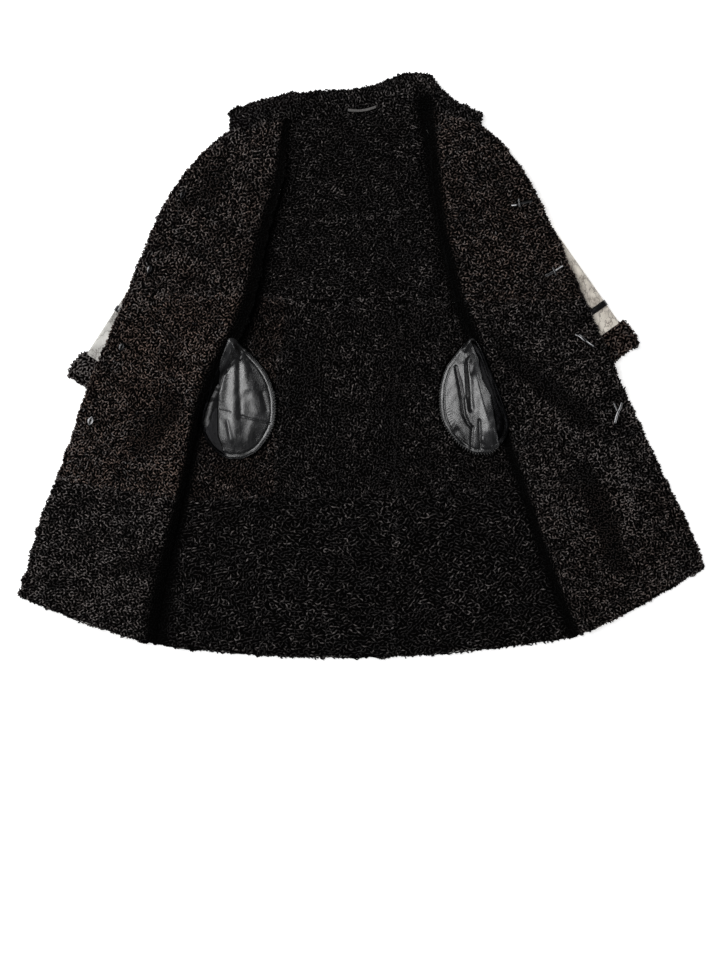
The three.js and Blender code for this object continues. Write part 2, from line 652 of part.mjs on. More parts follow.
/** A leather-bound buttonhole, an almond of leather with its slit, lying on the fleece. */
function buttonhole({ name, hole: [holeX, holeY] }) {
  const almond = (Path, long, wide) => {
    const path = new Path();
    path.moveTo(-long / 2, 0);
    path.quadraticCurveTo(0, -wide, long / 2, 0);
    path.quadraticCurveTo(0, wide, -long / 2, 0);
    return path;
  };
  const shape = almond(THREE.Shape, BUTTONHOLE.long, BUTTONHOLE.wide);
  shape.holes.push(almond(THREE.Path, BUTTONHOLE.slitLong, BUTTONHOLE.slitWide));
  const options = { depth: BUTTONHOLE.thick, bevelEnabled: false, curveSegments: 6 };
  const patch = new THREE.ExtrudeGeometry(shape, options);
  const mesh = add(`buttonhole_${name}`, patch, LEATHER);
  const half = BUTTONHOLE.long / 2;
  const [riseX, riseY] = [
    topHeight(pelts, holeX + half, holeY) - topHeight(pelts, holeX - half, holeY),
    topHeight(pelts, holeX, holeY + half) - topHeight(pelts, holeX, holeY - half),
  ];
  const normal = new THREE.Vector3(-riseX, -riseY, BUTTONHOLE.long).normalize();
  const spin = new THREE.Quaternion().setFromAxisAngle(UP, THREE.MathUtils.degToRad(BUTTONHOLE.turn));
  mesh.quaternion.setFromUnitVectors(UP, normal).multiply(spin);
  mesh.position.set(holeX, holeY, topHeight(pelts, holeX, holeY) + 1.5 * SEAM);
}

/** A round button with a dished face, under the left front and on what lies there. */
function button({ name, button: [buttonX, buttonY] }, below) {
  const profile = [
    [0, 0.6],
    [BUTTON.rim - 2, 0],
    [BUTTON.rim, 0],
    [BUTTON.radius, 1.4],
    [BUTTON.radius, BUTTON.thick - 1.2],
    [BUTTON.rim, BUTTON.thick],
    [0, BUTTON.thick],
  ].map(([r, z]) => new THREE.Vector2(r, z));
  const disc = new THREE.LatheGeometry(profile, 20);
  disc.rotateX(Math.PI / 2);
  const mesh = add(`button_${name}`, disc, HORN);
  const seat = topHeight(below, buttonX, buttonY, BUTTON.radius);
  mesh.position.set(buttonX, buttonY, seat > 0 ? seat + SEAM : 0);
  const distance = (x, y) => Math.max(Math.hypot(x - buttonX, y - buttonY) - BUTTON.radius, 0);
  return { height: mesh.position.z + BUTTON.thick + SEAM, margin: BUTTON_MARGIN, distance };
}

/** An octagon, narrower by its thickness at its two flat sides' ends. */
function flatOctagon(thick, wide) {
  const turns = Array.from({ length: THONG.sides }, (_, i) => ((i + 0.5) / THONG.sides) * 2 * Math.PI);
  return new THREE.Shape(
    turns.map((a) => new THREE.Vector2((Math.cos(a) * thick) / 2, (Math.sin(a) * wide) / 2)),
  );
}

/** A button thong along its route, and its short end across it. */
function thong({ name, route, tie }) {
  const path = new THREE.CatmullRomCurve3(route.map((point) => new THREE.Vector3(...point)));
  const lace = new THREE.ExtrudeGeometry(flatOctagon(THONG.thick, THONG.wide), {
    extrudePath: path,
    steps: THONG.steps,
    bevelEnabled: false,
  });
  const options = { depth: TIE.long, bevelEnabled: false };
  const end = new THREE.ExtrudeGeometry(flatOctagon(TIE.thick, TIE.wide), options);
  end.translate(0, 0, -TIE.long / 2);
  end.rotateY(Math.PI / 2);
  const meshes = [new THREE.Mesh(lace, LEATHER), new THREE.Mesh(end, LEATHER)];
  meshes[0].name = `thong_${name}`;
  meshes[1].name = `thong_end_${name}`;
  meshes[1].position.set(tie.x, tie.y, tie.z);
  meshes[1].rotation.z = THREE.MathUtils.degToRad(tie.turn);
  return meshes;
}

// ------------------------------------------------------------------ the coat

const rightSleeve = sleeve(SLEEVES[0], RIGHT_FRONT);
const leftSleeve = sleeve(SLEEVES[1], LEFT_FRONT);
const buttons = CLOSURES.map((closure) => button(closure, leftSleeve.meshes));
const rightFront = { side: 'right', table: RIGHT_FRONT, supports: [rightSleeve.support] };
const leftFront = { side: 'left', table: LEFT_FRONT, supports: [leftSleeve.support, ...buttons] };

const pelts = [];
for (const tier of TIERS) {
  pelts.push(
    frontPelt(rightFront, tier, tier.name === 'lower' ? FLEECE_BLACK : FLEECE_BROWN),
    frontPelt(leftFront, tier, tier.name === 'upper' ? FLEECE_BROWN : FLEECE_BLACK),
  );
}

pelts.push(backPelt('back_upper', TIERS[0], [0, 1, 2], FLEECE_BLACK));
for (const tier of TIERS.slice(1)) {
  for (const [index, place] of ['right', 'centre', 'left'].entries()) {
    pelts.push(backPelt(`back_${tier.name}_${place}`, tier, [index], FLEECE_BLACK));
  }
}
pelts.push(collar());
coat.updateMatrixWorld(true);

POCKETS.forEach(pocketBag);
POCKETS.forEach(pocketBinding);
hangerLoop();
CLOSURES.forEach(buttonhole);

const box = new THREE.Box3().setFromObject(coat);
const middle = box.getCenter(new THREE.Vector3());
coat.position.set(-middle.x, -middle.y, -box.min.z);

const part = new THREE.Group();
part.add(coat, ...THONGS.flatMap(thong));

export default part;
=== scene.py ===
"""A long sheepskin coat that lies open on its back, fleece side up, in a white studio.

Lengths are metres, +Z is up and +Y runs from the hem to the collar. Left and right are the
wearer's: the right front lies at -X, and the left front at +X.
"""

import logging
import math
from dataclasses import dataclass, field
from enum import Enum
from typing import Any, Iterable, Sequence

import bmesh
import bpy
import numpy as np
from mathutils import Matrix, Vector
from mathutils.bvhtree import BVHTree

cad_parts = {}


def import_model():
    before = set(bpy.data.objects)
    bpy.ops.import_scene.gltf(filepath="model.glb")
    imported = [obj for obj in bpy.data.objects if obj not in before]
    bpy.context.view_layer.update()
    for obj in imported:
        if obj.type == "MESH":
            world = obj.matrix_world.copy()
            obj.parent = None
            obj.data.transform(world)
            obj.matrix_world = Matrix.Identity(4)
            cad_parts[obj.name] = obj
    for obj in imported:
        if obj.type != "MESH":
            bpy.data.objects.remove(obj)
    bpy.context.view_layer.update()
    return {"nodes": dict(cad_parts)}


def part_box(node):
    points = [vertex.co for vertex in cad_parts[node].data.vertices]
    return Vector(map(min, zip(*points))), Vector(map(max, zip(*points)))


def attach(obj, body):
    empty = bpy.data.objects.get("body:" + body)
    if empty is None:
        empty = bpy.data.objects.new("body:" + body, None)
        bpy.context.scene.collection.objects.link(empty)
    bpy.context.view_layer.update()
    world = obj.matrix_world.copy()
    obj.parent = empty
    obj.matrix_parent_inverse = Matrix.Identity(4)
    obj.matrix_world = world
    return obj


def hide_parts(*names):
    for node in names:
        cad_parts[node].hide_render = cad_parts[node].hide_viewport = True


logging.basicConfig(level=logging.INFO, format="%(message)s")
LOG = logging.getLogger("coat")

Point = tuple[float, float]
Place = tuple[float, float, float]
Colour = tuple[float, float, float, float]
# a stretch of painted highlight along a lace
Stretch = tuple[float, float, float, float]  # start and end, angle and strength

BODY = "root"
UP = np.array([0.0, 0.0, 1.0])
TRIES = 9  # scattered points for each square of one wave
FLOOR_CLEAR = 0.0002  # between the floor and the lowest wool


class Side(Enum):
    """A side of the coat, as its wearer has it."""

    RIGHT = "right"
    LEFT = "left"


# ------------------------------------------------------------------ shader graphs


class Value:
    """A number that a shader graph works out, on which Python's operators add Math nodes."""

    def __init__(self, graph: "Graph", socket: bpy.types.NodeSocket) -> None:
        """Wraps a socket of a graph.

        Args:
            graph: The graph.
            socket: The socket.
        """
        self.graph = graph
        self.socket = socket

    def _math(self, operation: str, first: Any, second: Any) -> "Value":
        """Adds a Math node.

        Args:
            operation: The Math node's operation.
            first: Its first number or value.
            second: Its second number or value.

        Returns:
            The node's result.
        """
        return self.graph.value("ShaderNodeMath", {"operation": operation}, {0: first, 1: second})

    def __add__(self, other: Any) -> "Value":
        """self + other."""
        return self._math("ADD", self, other)

    __radd__ = __add__

    def __sub__(self, other: Any) -> "Value":
        """self - other."""
        return self._math("SUBTRACT", self, other)

    def __rsub__(self, other: Any) -> "Value":
        """other - self."""
        return self._math("SUBTRACT", other, self)

    def __mul__(self, other: Any) -> "Value":
        """self * other."""
        return self._math("MULTIPLY", self, other)

    __rmul__ = __mul__

    def step(self, low: float, high: float) -> "Value":
        """A smooth step from 0 at low to 1 at high.

        Args:
            low: Up to where the step is 0.
            high: From where it is 1.

        Returns:
            The step, 0 to 1.
        """
        settings = {"interpolation_type": "SMOOTHSTEP"}
        inputs = {"Value": self, "From Min": low, "From Max": high}
        return self.graph.value("ShaderNodeMapRange", settings, inputs)


class Graph:
    """One material and the nodes that feed its shader."""

    def __init__(self, name: str) -> None:
        """Starts a material with only a Principled shader.

        Args:
            name: The material's name.
        """
        self.material = bpy.data.materials.new(name)
        self.material.use_nodes = True
        self.tree = self.material.node_tree
        self.shader = self.tree.nodes["Principled BSDF"]

    def feed(self, socket: bpy.types.NodeSocket, value: Any) -> None:
        """Links a value to a socket, or sets the socket to a constant.

        Args:
            socket: The socket.
            value: The value to link, or the constant.
        """
        if isinstance(value, Value):
            self.tree.links.new(value.socket, socket)
        else:
            socket.default_value = value

    def node(
        self, kind: str, settings: dict[str, Any] | None = None, inputs: dict[Any, Any] | None = None
    ) -> bpy.types.Node:
        """Adds a node.

        Args:
            kind: The node's type.
            settings: Its own settings, which are set first.
            inputs: The constants or values of its sockets, by name or number.

        Returns:
            The node.
        """
        node = self.tree.nodes.new(kind)
        for name, setting in (settings or {}).items():
            setattr(node, name, setting)
        for key, value in (inputs or {}).items():
            self.feed(node.inputs[key], value)
        return node

    def value(
        self,
        kind: str,
        settings: dict[str, Any] | None = None,
        inputs: dict[Any, Any] | None = None,
        output: Any = 0,
    ) -> Value:
        """Adds a node and gives one of its outputs."""
        return Value(self, self.node(kind, settings, inputs).outputs[output])

    def blend(self, share: Any, first: Any, second: Any, way: str = "MIX") -> Value:
        """Mixes two colours.

        Args:
            share: How much of the second colour shows, 0 to 1.
            first: The first colour.
            second: The second colour.
            way: The Mix node's blend type.

        Returns:
            The mixed colour.
        """
        settings = {"data_type": "RGBA", "blend_type": way, "clamp_factor": True}
        return self.value("ShaderNodeMix", settings, {0: share, 6: first, 7: second}, 2)

    def place(self) -> Value:
        """The object's own coordinates, in metres."""
        return self.value("ShaderNodeTexCoord", output="Object")

    def stretch(self, vector: Value, scale: Place) -> Value:
        """A vector scaled along its axes."""
        inputs = {"Vector": vector, "Scale": scale}
        return self.value("ShaderNodeMapping", {}, inputs)

    def noise(self, vector: Value, scale: float, detail: float = 2.0, rough: float = 0.5) -> Value:
        """Soft noise between about 0.3 and 0.7."""
        inputs = {"Vector": vector, "Scale": scale, "Detail": detail, "Roughness": rough}
        return self.value("ShaderNodeTexNoise", {}, inputs)

    def cells(self, vector: Value, scale: float, feature: str = "F1") -> Value:
        """The distance to the nearest of scattered points, or to the edge between two."""
        inputs = {"Vector": vector, "Scale": scale}
        return self.value("ShaderNodeTexVoronoi", {"feature": feature}, inputs, "Distance")

    def bump(self, height: Value, strength: float, distance: float, below: Any = None) -> Value:
        """Bumps the surface, on top of another bump where there is one.

        Args:
            height: Where the surface is high and low.
            strength: How much the bump shows, 0 to 1.
            distance: How high it is in metres, below 0 where high is deep.
            below: The bump that it lies on.

        Returns:
            The bumped normal.
        """
        inputs = {"Height": height, "Strength": strength, "Distance": distance}
        if below is not None:
            inputs["Normal"] = below
        return self.value("ShaderNodeBump", {}, inputs)

    def finish(self, **inputs: Any) -> bpy.types.Material:
        """Feeds the shader by its sockets' names, with _ for a space, and gives the material.

        Args:
            inputs: Values and constants, by the sockets' names with _ for a space.

        Returns:
            The material.
        """
        for name, value in inputs.items():
            self.feed(self.shader.inputs[name.replace("_", " ").title().replace("Ior", "IOR")], value)
        return self.material


def grey(level: float) -> Colour:
    """A neutral colour."""
    return (level, level, level, 1.0)


# ------------------------------------------------------------------ finishes


@dataclass(frozen=True)
class WoolFinish:
    """Curly wool: near black at the roots, glossier and lighter on the crowns of its locks, where the colour
    paints a highlight along each lock's top and shade below it.
    """

    name: str
    # root is near black: painted shade where the locks tuck down, on their lower sides and in the creases
    root: Colour = (0.0010, 0.0009, 0.0009, 1.0)
    black: Colour = (0.0140, 0.0133, 0.0137, 1.0)
    brown: Colour = (0.0370, 0.0245, 0.0200, 1.0)
    grizzle: Colour = (0.2250, 0.2070, 0.2030, 1.0)
    russet: Colour = (0.2580, 0.1830, 0.1520, 1.0)

    def material(self) -> bpy.types.Material:
        """The wool of the locks, which carry their crown with its painted highlight and shade, their tone
        and their brownness as a colour.

        Returns:
            The material.
        """
        graph = Graph(self.name)
        lock = graph.value("ShaderNodeAttribute", {"attribute_name": "lock"}, output="Color")
        split = graph.node("ShaderNodeSeparateColor", {}, {"Color": lock})
        crown, tone, brownness = (Value(graph, split.outputs[name]) for name in ("Red", "Green", "Blue"))
        along = graph.value("ShaderNodeUVMap", {"uv_map": "Lock"})
        strands = graph.noise(graph.stretch(along, (7.0, 60.0, 1.0)), 1.0, 3.0)
        dark = graph.blend(brownness, self.black, self.brown)
        light = graph.blend(brownness, self.grizzle, self.russet)
        # tone carries painted light on the folds' ridges, painted shade in their troughs and in the creases,
        # and random paler patches
        wool = graph.blend(tone.step(0.25, 1.15), dark, light)
        # the crown paints a highlight along each lock's top, and fades to the root's painted shade
        wool = graph.blend(crown.step(0.12, 0.95), self.root, wool)
        wool = graph.blend(strands.step(0.42, 0.66) * 0.72, wool, grey(0.0), "MULTIPLY")
        return graph.finish(
            base_color=wool,
            roughness=0.56 + 0.4 * (1.0 - crown),
            normal=graph.bump(strands, 0.5, 0.0006),
            specular_ior_level=0.09,
        )


@dataclass(frozen=True)
class RootFinish:
    """The matted wool between the locks, near black as painted shade in the hollows between them."""

    name: str = "wool_roots"
    dark: Colour = (0.0006, 0.0005, 0.0005, 1.0)
    light: Colour = (0.0018, 0.0016, 0.0015, 1.0)

    def material(self) -> bpy.types.Material:
        """Small soft tufts over the skin.

        Returns:
            The material.
        """
        graph = Graph(self.name)
        tufts = graph.noise(graph.place(), 320.0, 3.0)
        return graph.finish(
            base_color=graph.blend(tufts.step(0.4, 0.7), self.dark, self.light),
            roughness=0.95,
            specular_ior_level=0.02,
            normal=graph.bump(tufts, 0.8, 0.002),
        )


@dataclass(frozen=True)
class SuedeFinish:
    """The distressed suede of the coat's outside."""

    name: str = "distressed_suede"
    pale: Colour = (0.56, 0.55, 0.52, 1.0)
    worn: Colour = (0.36, 0.35, 0.33, 1.0)
    crack: Colour = (0.13, 0.12, 0.11, 1.0)

    def material(self) -> bpy.types.Material:
        """Mottled suede with crinkles, fine cracks and a short nap.

        Returns:
            The material.
        """
        graph = Graph(self.name)
        place = graph.place()
        mottle = graph.noise(place, 26.0, 4.0, 0.6)
        cloud = graph.noise(place, 7.0, 2.0)
        ridges = graph.noise(graph.stretch(place, (1.0, 0.6, 1.0)), 62.0, 3.0, 0.55)
        crinkle = 1.0 - ((ridges - 0.5) * (ridges - 0.5)).step(0.0, 0.0007)
        cracks = graph.cells(graph.stretch(place, (1.0, 0.55, 1.0)), 210.0, "DISTANCE_TO_EDGE")
        nap = graph.noise(place, 900.0, 2.0)
        tone = graph.blend((mottle * 0.6 + cloud * 0.4).step(0.4, 0.64), self.pale, self.worn)
        veins = (1.0 - cracks.step(0.0, 0.09)) * mottle.step(0.45, 0.65)
        folded = crinkle * cloud.step(0.36, 0.52)
        tone = graph.blend(veins * 0.7, tone, self.crack)
        tone = graph.blend(folded * 0.65, tone, self.crack)
        tone = graph.blend(nap.step(0.4, 0.75) * 0.25, tone, grey(0.75), "MULTIPLY")
        grain = graph.bump(mottle, 0.35, 0.004)
        grain = graph.bump(ridges, 0.5, 0.006, grain)
        grain = graph.bump(veins, 0.3, -0.0006, grain)
        return graph.finish(
            base_color=tone,
            roughness=0.92,
            normal=graph.bump(nap, 0.25, 0.0005, grain),
            specular_ior_level=0.15,
            sheen_weight=0.2,
            sheen_roughness=0.6,
        )


@dataclass(frozen=True)
class LeatherFinish:
    """Glossy black leather, paler by its piece's scuffing and painted highlights, and painted dark and dull
    as shade in its deep folds.
    """

    name: str
    painted_highlight_and_wear: Colour
    gloss: float
    glaze: float
    black: Colour = (0.0020, 0.0020, 0.0023, 1.0)
    wrinkle: float = 60.0
    soft: float = 0.10
    grain: float = 0.10

    def material(self) -> bpy.types.Material:
        """Fine pebbled grain over soft wrinkles.

        Returns:
            The material.
        """
        graph = Graph(self.name)
        place = graph.place()
        split = graph.node(
            "ShaderNodeSeparateColor",
            {},
            {"Color": graph.value("ShaderNodeAttribute", {"attribute_name": "wear_and_painted_light"}, output="Color")},
        )
        # red: scuffing with painted highlights; green: a fold's depth, painted dark and dull as shade
        wear_and_painted_light, depth = Value(graph, split.outputs["Red"]), Value(graph, split.outputs["Green"])
        pebbles = graph.cells(place, 1500.0)
        wrinkles = graph.noise(graph.stretch(place, (1.0, 0.5, 1.0)), self.wrinkle, 3.0, 0.55)
        scuffs = graph.noise(graph.stretch(place, (1.0, 0.4, 1.0)), 90.0, 4.0, 0.65)
        share = wear_and_painted_light * (1.0 - depth) * (0.35 + 1.1 * scuffs.step(0.35, 0.7))
        creased = graph.bump(wrinkles, self.soft, 0.005)
        return graph.finish(
            base_color=graph.blend(share, self.black, self.painted_highlight_and_wear),
            metallic=depth,
            roughness=self.gloss + 0.08 * scuffs.step(0.35, 0.7),
            normal=graph.bump(pebbles, self.grain, 0.0004, creased),
            specular_ior_level=0.5,
            coat_weight=self.glaze * (1.0 - depth),
            coat_roughness=0.12,
        )


@dataclass(frozen=True)
class TapeFinish:
    """Woven tape."""

    name: str = "woven_tape"
    warp: Colour = (0.16, 0.15, 0.145, 1.0)
    weft: Colour = (0.05, 0.048, 0.046, 1.0)

    def material(self) -> bpy.types.Material:
        """A fine plain weave.

        Returns:
            The material.
        """
        graph = Graph(self.name)
        weave = graph.cells(graph.place(), 1400.0)
        return graph.finish(
            base_color=graph.blend(weave.step(0.2, 0.6), self.warp, self.weft),
            roughness=0.85,
            normal=graph.bump(weave, 0.4, -0.0005),
        )


@dataclass(frozen=True)
class HornFinish:
    """Polished dark horn, streaked along one way."""

    name: str = "dark_horn"
    dark: Colour = (0.012, 0.009, 0.007, 1.0)
    streak: Colour = (0.11, 0.07, 0.045, 1.0)

    def material(self) -> bpy.types.Material:
        """Long soft streaks under a gloss.

        Returns:
            The material.
        """
        graph = Graph(self.name)
        streaks = graph.noise(graph.stretch(graph.place(), (1.0, 6.0, 1.0)), 60.0, 4.0)
        return graph.finish(
            base_color=graph.blend(streaks.step(0.45, 0.75), self.dark, self.streak),
            roughness=0.3 + 0.15 * streaks,
            normal=graph.bump(streaks, 0.1, 0.0005),
        )


@dataclass(frozen=True)
class ThreadFinish:
    """Waxed sewing thread."""

    name: str = "waxed_thread"
    colour: Colour = (0.11, 0.105, 0.10, 1.0)

    def material(self) -> bpy.types.Material:
        """Twisted thread.

        Returns:
            The material.
        """
        graph = Graph(self.name)
        twist = graph.noise(graph.place(), 1800.0, 1.0)
        shade = graph.blend(twist.step(0.35, 0.65), self.colour, grey(0.05))
        return graph.finish(base_color=shade, roughness=0.55, normal=graph.bump(twist, 0.3, 0.0004))


# ------------------------------------------------------------------ meshes


def select_only(piece: bpy.types.Object) -> None:
    """Makes a piece the only selected one, and the active one.

    Args:
        piece: The piece.
    """
    bpy.ops.object.select_all(action="DESELECT")
    piece.select_set(True)
    bpy.context.view_layer.objects.active = piece


def apply_modifier(piece: bpy.types.Object, kind: str, **settings: Any) -> None:
    """Adds a modifier to a piece, and applies it.

    Args:
        piece: The piece.
        kind: The modifier's type.
        settings: Its settings, by name.
    """
    modifier = piece.modifiers.new(kind.lower(), kind)
    for name, value in settings.items():
        setattr(modifier, name, value)
    select_only(piece)
    bpy.ops.object.modifier_apply(modifier=modifier.name)


def shade_smooth(piece: bpy.types.Object, angle: float) -> None:
    """Smooths a piece's shading, but not over its sharp edges.

    Args:
        piece: The piece.
        angle: From how many degrees an edge stays hard.
    """
    select_only(piece)
    bpy.ops.object.shade_smooth_by_angle(angle=math.radians(angle))


def link(name: str, mesh: bpy.types.Mesh, *materials: bpy.types.Material) -> bpy.types.Object:
    """Puts a mesh in the scene as a piece that wears some materials.

    Args:
        name: The piece's name.
        mesh: Its mesh.
        materials: What it wears, by slot.

    Returns:
        The piece.
    """
    piece = bpy.data.objects.new(name, mesh)
    bpy.context.scene.collection.objects.link(piece)
    for material in materials:
        mesh.materials.append(material)
    return piece


def mesh_from(name: str, points: np.ndarray, rings: Sequence[np.ndarray]) -> bpy.types.Mesh:
    """Makes a smooth mesh from arrays.

    Args:
        name: The mesh's name.
        points: Its vertices, n by 3.
        rings: Arrays of faces, each with one number of corners.

    Returns:
        The mesh.
    """
    mesh = bpy.data.meshes.new(name)
    mesh.vertices.add(len(points))
    mesh.vertices.foreach_set("co", points.astype(np.float32).ravel())
    corners = np.concatenate([ring.ravel() for ring in rings])
    counts = np.concatenate([np.full(len(ring), ring.shape[1]) for ring in rings])
    mesh.loops.add(len(corners))
    mesh.loops.foreach_set("vertex_index", corners.astype(np.int32))
    mesh.polygons.add(len(counts))
    starts = np.concatenate([[0], np.cumsum(counts)[:-1]])
    mesh.polygons.foreach_set("loop_start", starts.astype(np.int32))
    mesh.update(calc_edges=True)
    mesh.polygons.foreach_set("use_smooth", np.ones(len(counts), bool))
    return mesh


def points_of(mesh: bpy.types.Mesh) -> np.ndarray:
    """A mesh's vertices, n by 3.

    Args:
        mesh: The mesh.

    Returns:
        The points.
    """
    points = np.empty(len(mesh.vertices) * 3, np.float32)
    mesh.vertices.foreach_get("co", points)
    return points.reshape(-1, 3).astype(float)


def move_points(mesh: bpy.types.Mesh, points: np.ndarray) -> None:
    """Puts a mesh's vertices at new places."""
    mesh.vertices.foreach_set("co", points.astype(np.float32).ravel())
    mesh.update()


def normals_of(mesh: bpy.types.Mesh) -> np.ndarray:
    """A mesh's vertex normals, n by 3.

    Args:
        mesh: The mesh.

    Returns:
        The normals.
    """
    normals = np.empty(len(mesh.vertices) * 3, np.float32)
    mesh.vertex_normals.foreach_get("vector", normals)
    return normals.reshape(-1, 3).astype(float)


def smoothstep(value: np.ndarray, low: float, high: float) -> np.ndarray:
    """A smooth step from 0 at low to 1 at high."""
    share = np.clip((value - low) / (high - low), 0.0, 1.0)
    return share * share * (3.0 - 2.0 * share)


def clean_copy(
    node: bpy.types.Object, name: str, sharp: float = 38.0, joined: float = 40.0
) -> bpy.types.Object:
    """Copies a node's solid as whole faces, with its sharp edges marked for subdivision.

    Args:
        node: The object to copy.
        name: The copy's name.
        sharp: From how many degrees an edge stays sharp.
        joined: How uneven two triangles may be in degrees and still be joined, or 0 for none.

    Returns:
        The copy.
    """
    mesh = node.data.copy()
    mesh.name = name
    mesh.materials.clear()
    shape = bmesh.new()
    shape.from_mesh(mesh)
    bmesh.ops.remove_doubles(shape, verts=shape.verts, dist=1e-6)
    if joined:
        bmesh.ops.join_triangles(
            shape,
            faces=shape.faces,
            angle_face_threshold=math.radians(30.0),
            angle_shape_threshold=math.radians(joined),
        )
    crease = shape.edges.layers.float.get("crease_edge") or shape.edges.layers.float.new("crease_edge")
    for edge in shape.edges:
        if edge.is_manifold and edge.calc_face_angle(0.0) > math.radians(sharp):
            edge[crease] = 1.0
    shape.to_mesh(mesh)
    shape.free()
    if "custom_normal" in mesh.attributes:
        mesh.attributes.remove(mesh.attributes["custom_normal"])
    return link(name, mesh)


def tree_of(pieces: Iterable[bpy.types.Object]) -> BVHTree:
    """One tree of the triangles of several pieces, for rays.

    Args:
        pieces: The pieces.

    Returns:
        The tree.
    """
    points: list[Vector] = []
    faces: list[list[int]] = []
    for piece in pieces:
        base = len(points)
        points.extend(vertex.co.copy() for vertex in piece.data.vertices)
        faces.extend([base + corner for corner in polygon.vertices] for polygon in piece.data.polygons)
    return BVHTree.FromPolygons(points, faces)


def keep_wear_and_painted_light(mesh: bpy.types.Mesh, wear_and_painted_light: np.ndarray, depth: np.ndarray) -> None:
    """Keeps how scuffed each point is with its painted highlight, and how deep in a fold it is for painted
    shade, as the colour "wear_and_painted_light".

    Args:
        mesh: The mesh.
        wear_and_painted_light: How scuffed each point is, with any painted highlight, 0 to 1.
        depth: How deep in a fold it is, 0 to 1, which paints it dark and dull as shade.
    """
    colour = np.stack([wear_and_painted_light, depth, np.zeros_like(wear_and_painted_light), np.ones_like(wear_and_painted_light)], axis=1)
    layer = mesh.attributes.new("wear_and_painted_light", "FLOAT_COLOR", "POINT")
    layer.data.foreach_set("color", colour.astype(np.float32).ravel())


def surface_area(mesh: bpy.types.Mesh) -> float:
    """The area of all of a mesh's faces."""
    return sum(polygon.area for polygon in mesh.polygons)


# ------------------------------------------------------------------ folds


def clouds(points: np.ndarray, pace: float) -> np.ndarray:
    """A soft uneven pattern over X and Y, -1 to 1, with about pace / 6 waves a metre."""
    x, y = points[:, 0] * pace, points[:, 1] * pace
    return np.sin(x + 2.1 * np.sin(0.7 * y) + 1.3) * np.cos(1.2 * y + 1.7 * np.sin(0.6 * x))


@dataclass(frozen=True)
class Fold:
    """A soft ridge, or a trough where its height is below 0, from one point to another."""

    start: Point
    end: Point
    half_width: float
    height: float

    def relief(self, points: np.ndarray) -> np.ndarray:
        """How much the fold lifts each of some points.

        Args:
            points: The points, n by 2 or more.

        Returns:
            The lift of each.
        """
        start, end = np.array(self.start), np.array(self.end)
        run = end - start
        share = np.clip((points[:, :2] - start) @ run / (run @ run), 0.0, 1.0)
        off = np.linalg.norm(points[:, :2] - start - share[:, None] * run, axis=1)
        swell = 0.55 + 0.45 * np.sin(math.pi * np.clip(share, 0.08, 0.92))
        return self.height * swell * np.exp(-((off / self.half_width) ** 2))


def relief(folds: Iterable[Fold], points: np.ndarray) -> np.ndarray:
    """How much several folds lift each of some points together."""
    return sum((fold.relief(points) for fold in folds), np.zeros(len(points)))


def nearness(knots: Sequence[Place], points: np.ndarray, power: float) -> np.ndarray:
    """How near some points are to a line, in its own half widths.

    Args:
        knots: The line's points, each with its half width in place of Z.
        points: The points to measure.
        power: How sharply the nearness ends: 2 is soft.

    Returns:
        1 on the line, and about 0.4 at its half width.
    """
    most = np.zeros(len(points))
    line = np.array(knots)
    for start, end in zip(line[:-1], line[1:]):
        run = end[:2] - start[:2]
        share = np.clip((points[:, :2] - start[:2]) @ run / (run @ run), 0.0, 1.0)
        off = np.linalg.norm(points[:, :2] - start[:2] - share[:, None] * run, axis=1)
        reach = start[2] + share * (end[2] - start[2])
        most = np.maximum(most, np.exp(-((off / reach) ** power)))
    return most


# ------------------------------------------------------------------ locks of wool


@dataclass(frozen=True)
class Fleece:
    """How a stretch of fleece grows: the size of its locks, their lie and their colour."""

    wave: float = 0.0056
    length: float = 0.0074
    radius: float = 0.0019
    rise: float = 0.0026
    lie: Place = (1.0, 1.0, 1.0)
    brown: float = 0.1
    light: float = 0.5
    spread: float = 0.21


@dataclass(frozen=True)
class Crease:
    """A line along which the fleece lies flat and is darkened with painted shade, through points with half
    widths.
    """

    knots: tuple[Place, ...]

    def pressed_and_shaded(self, spots: np.ndarray) -> np.ndarray:
        """How much the crease flattens the fleece and paints shade on it at each spot, 0 to 1."""
        return nearness(self.knots, spots, 3.0)


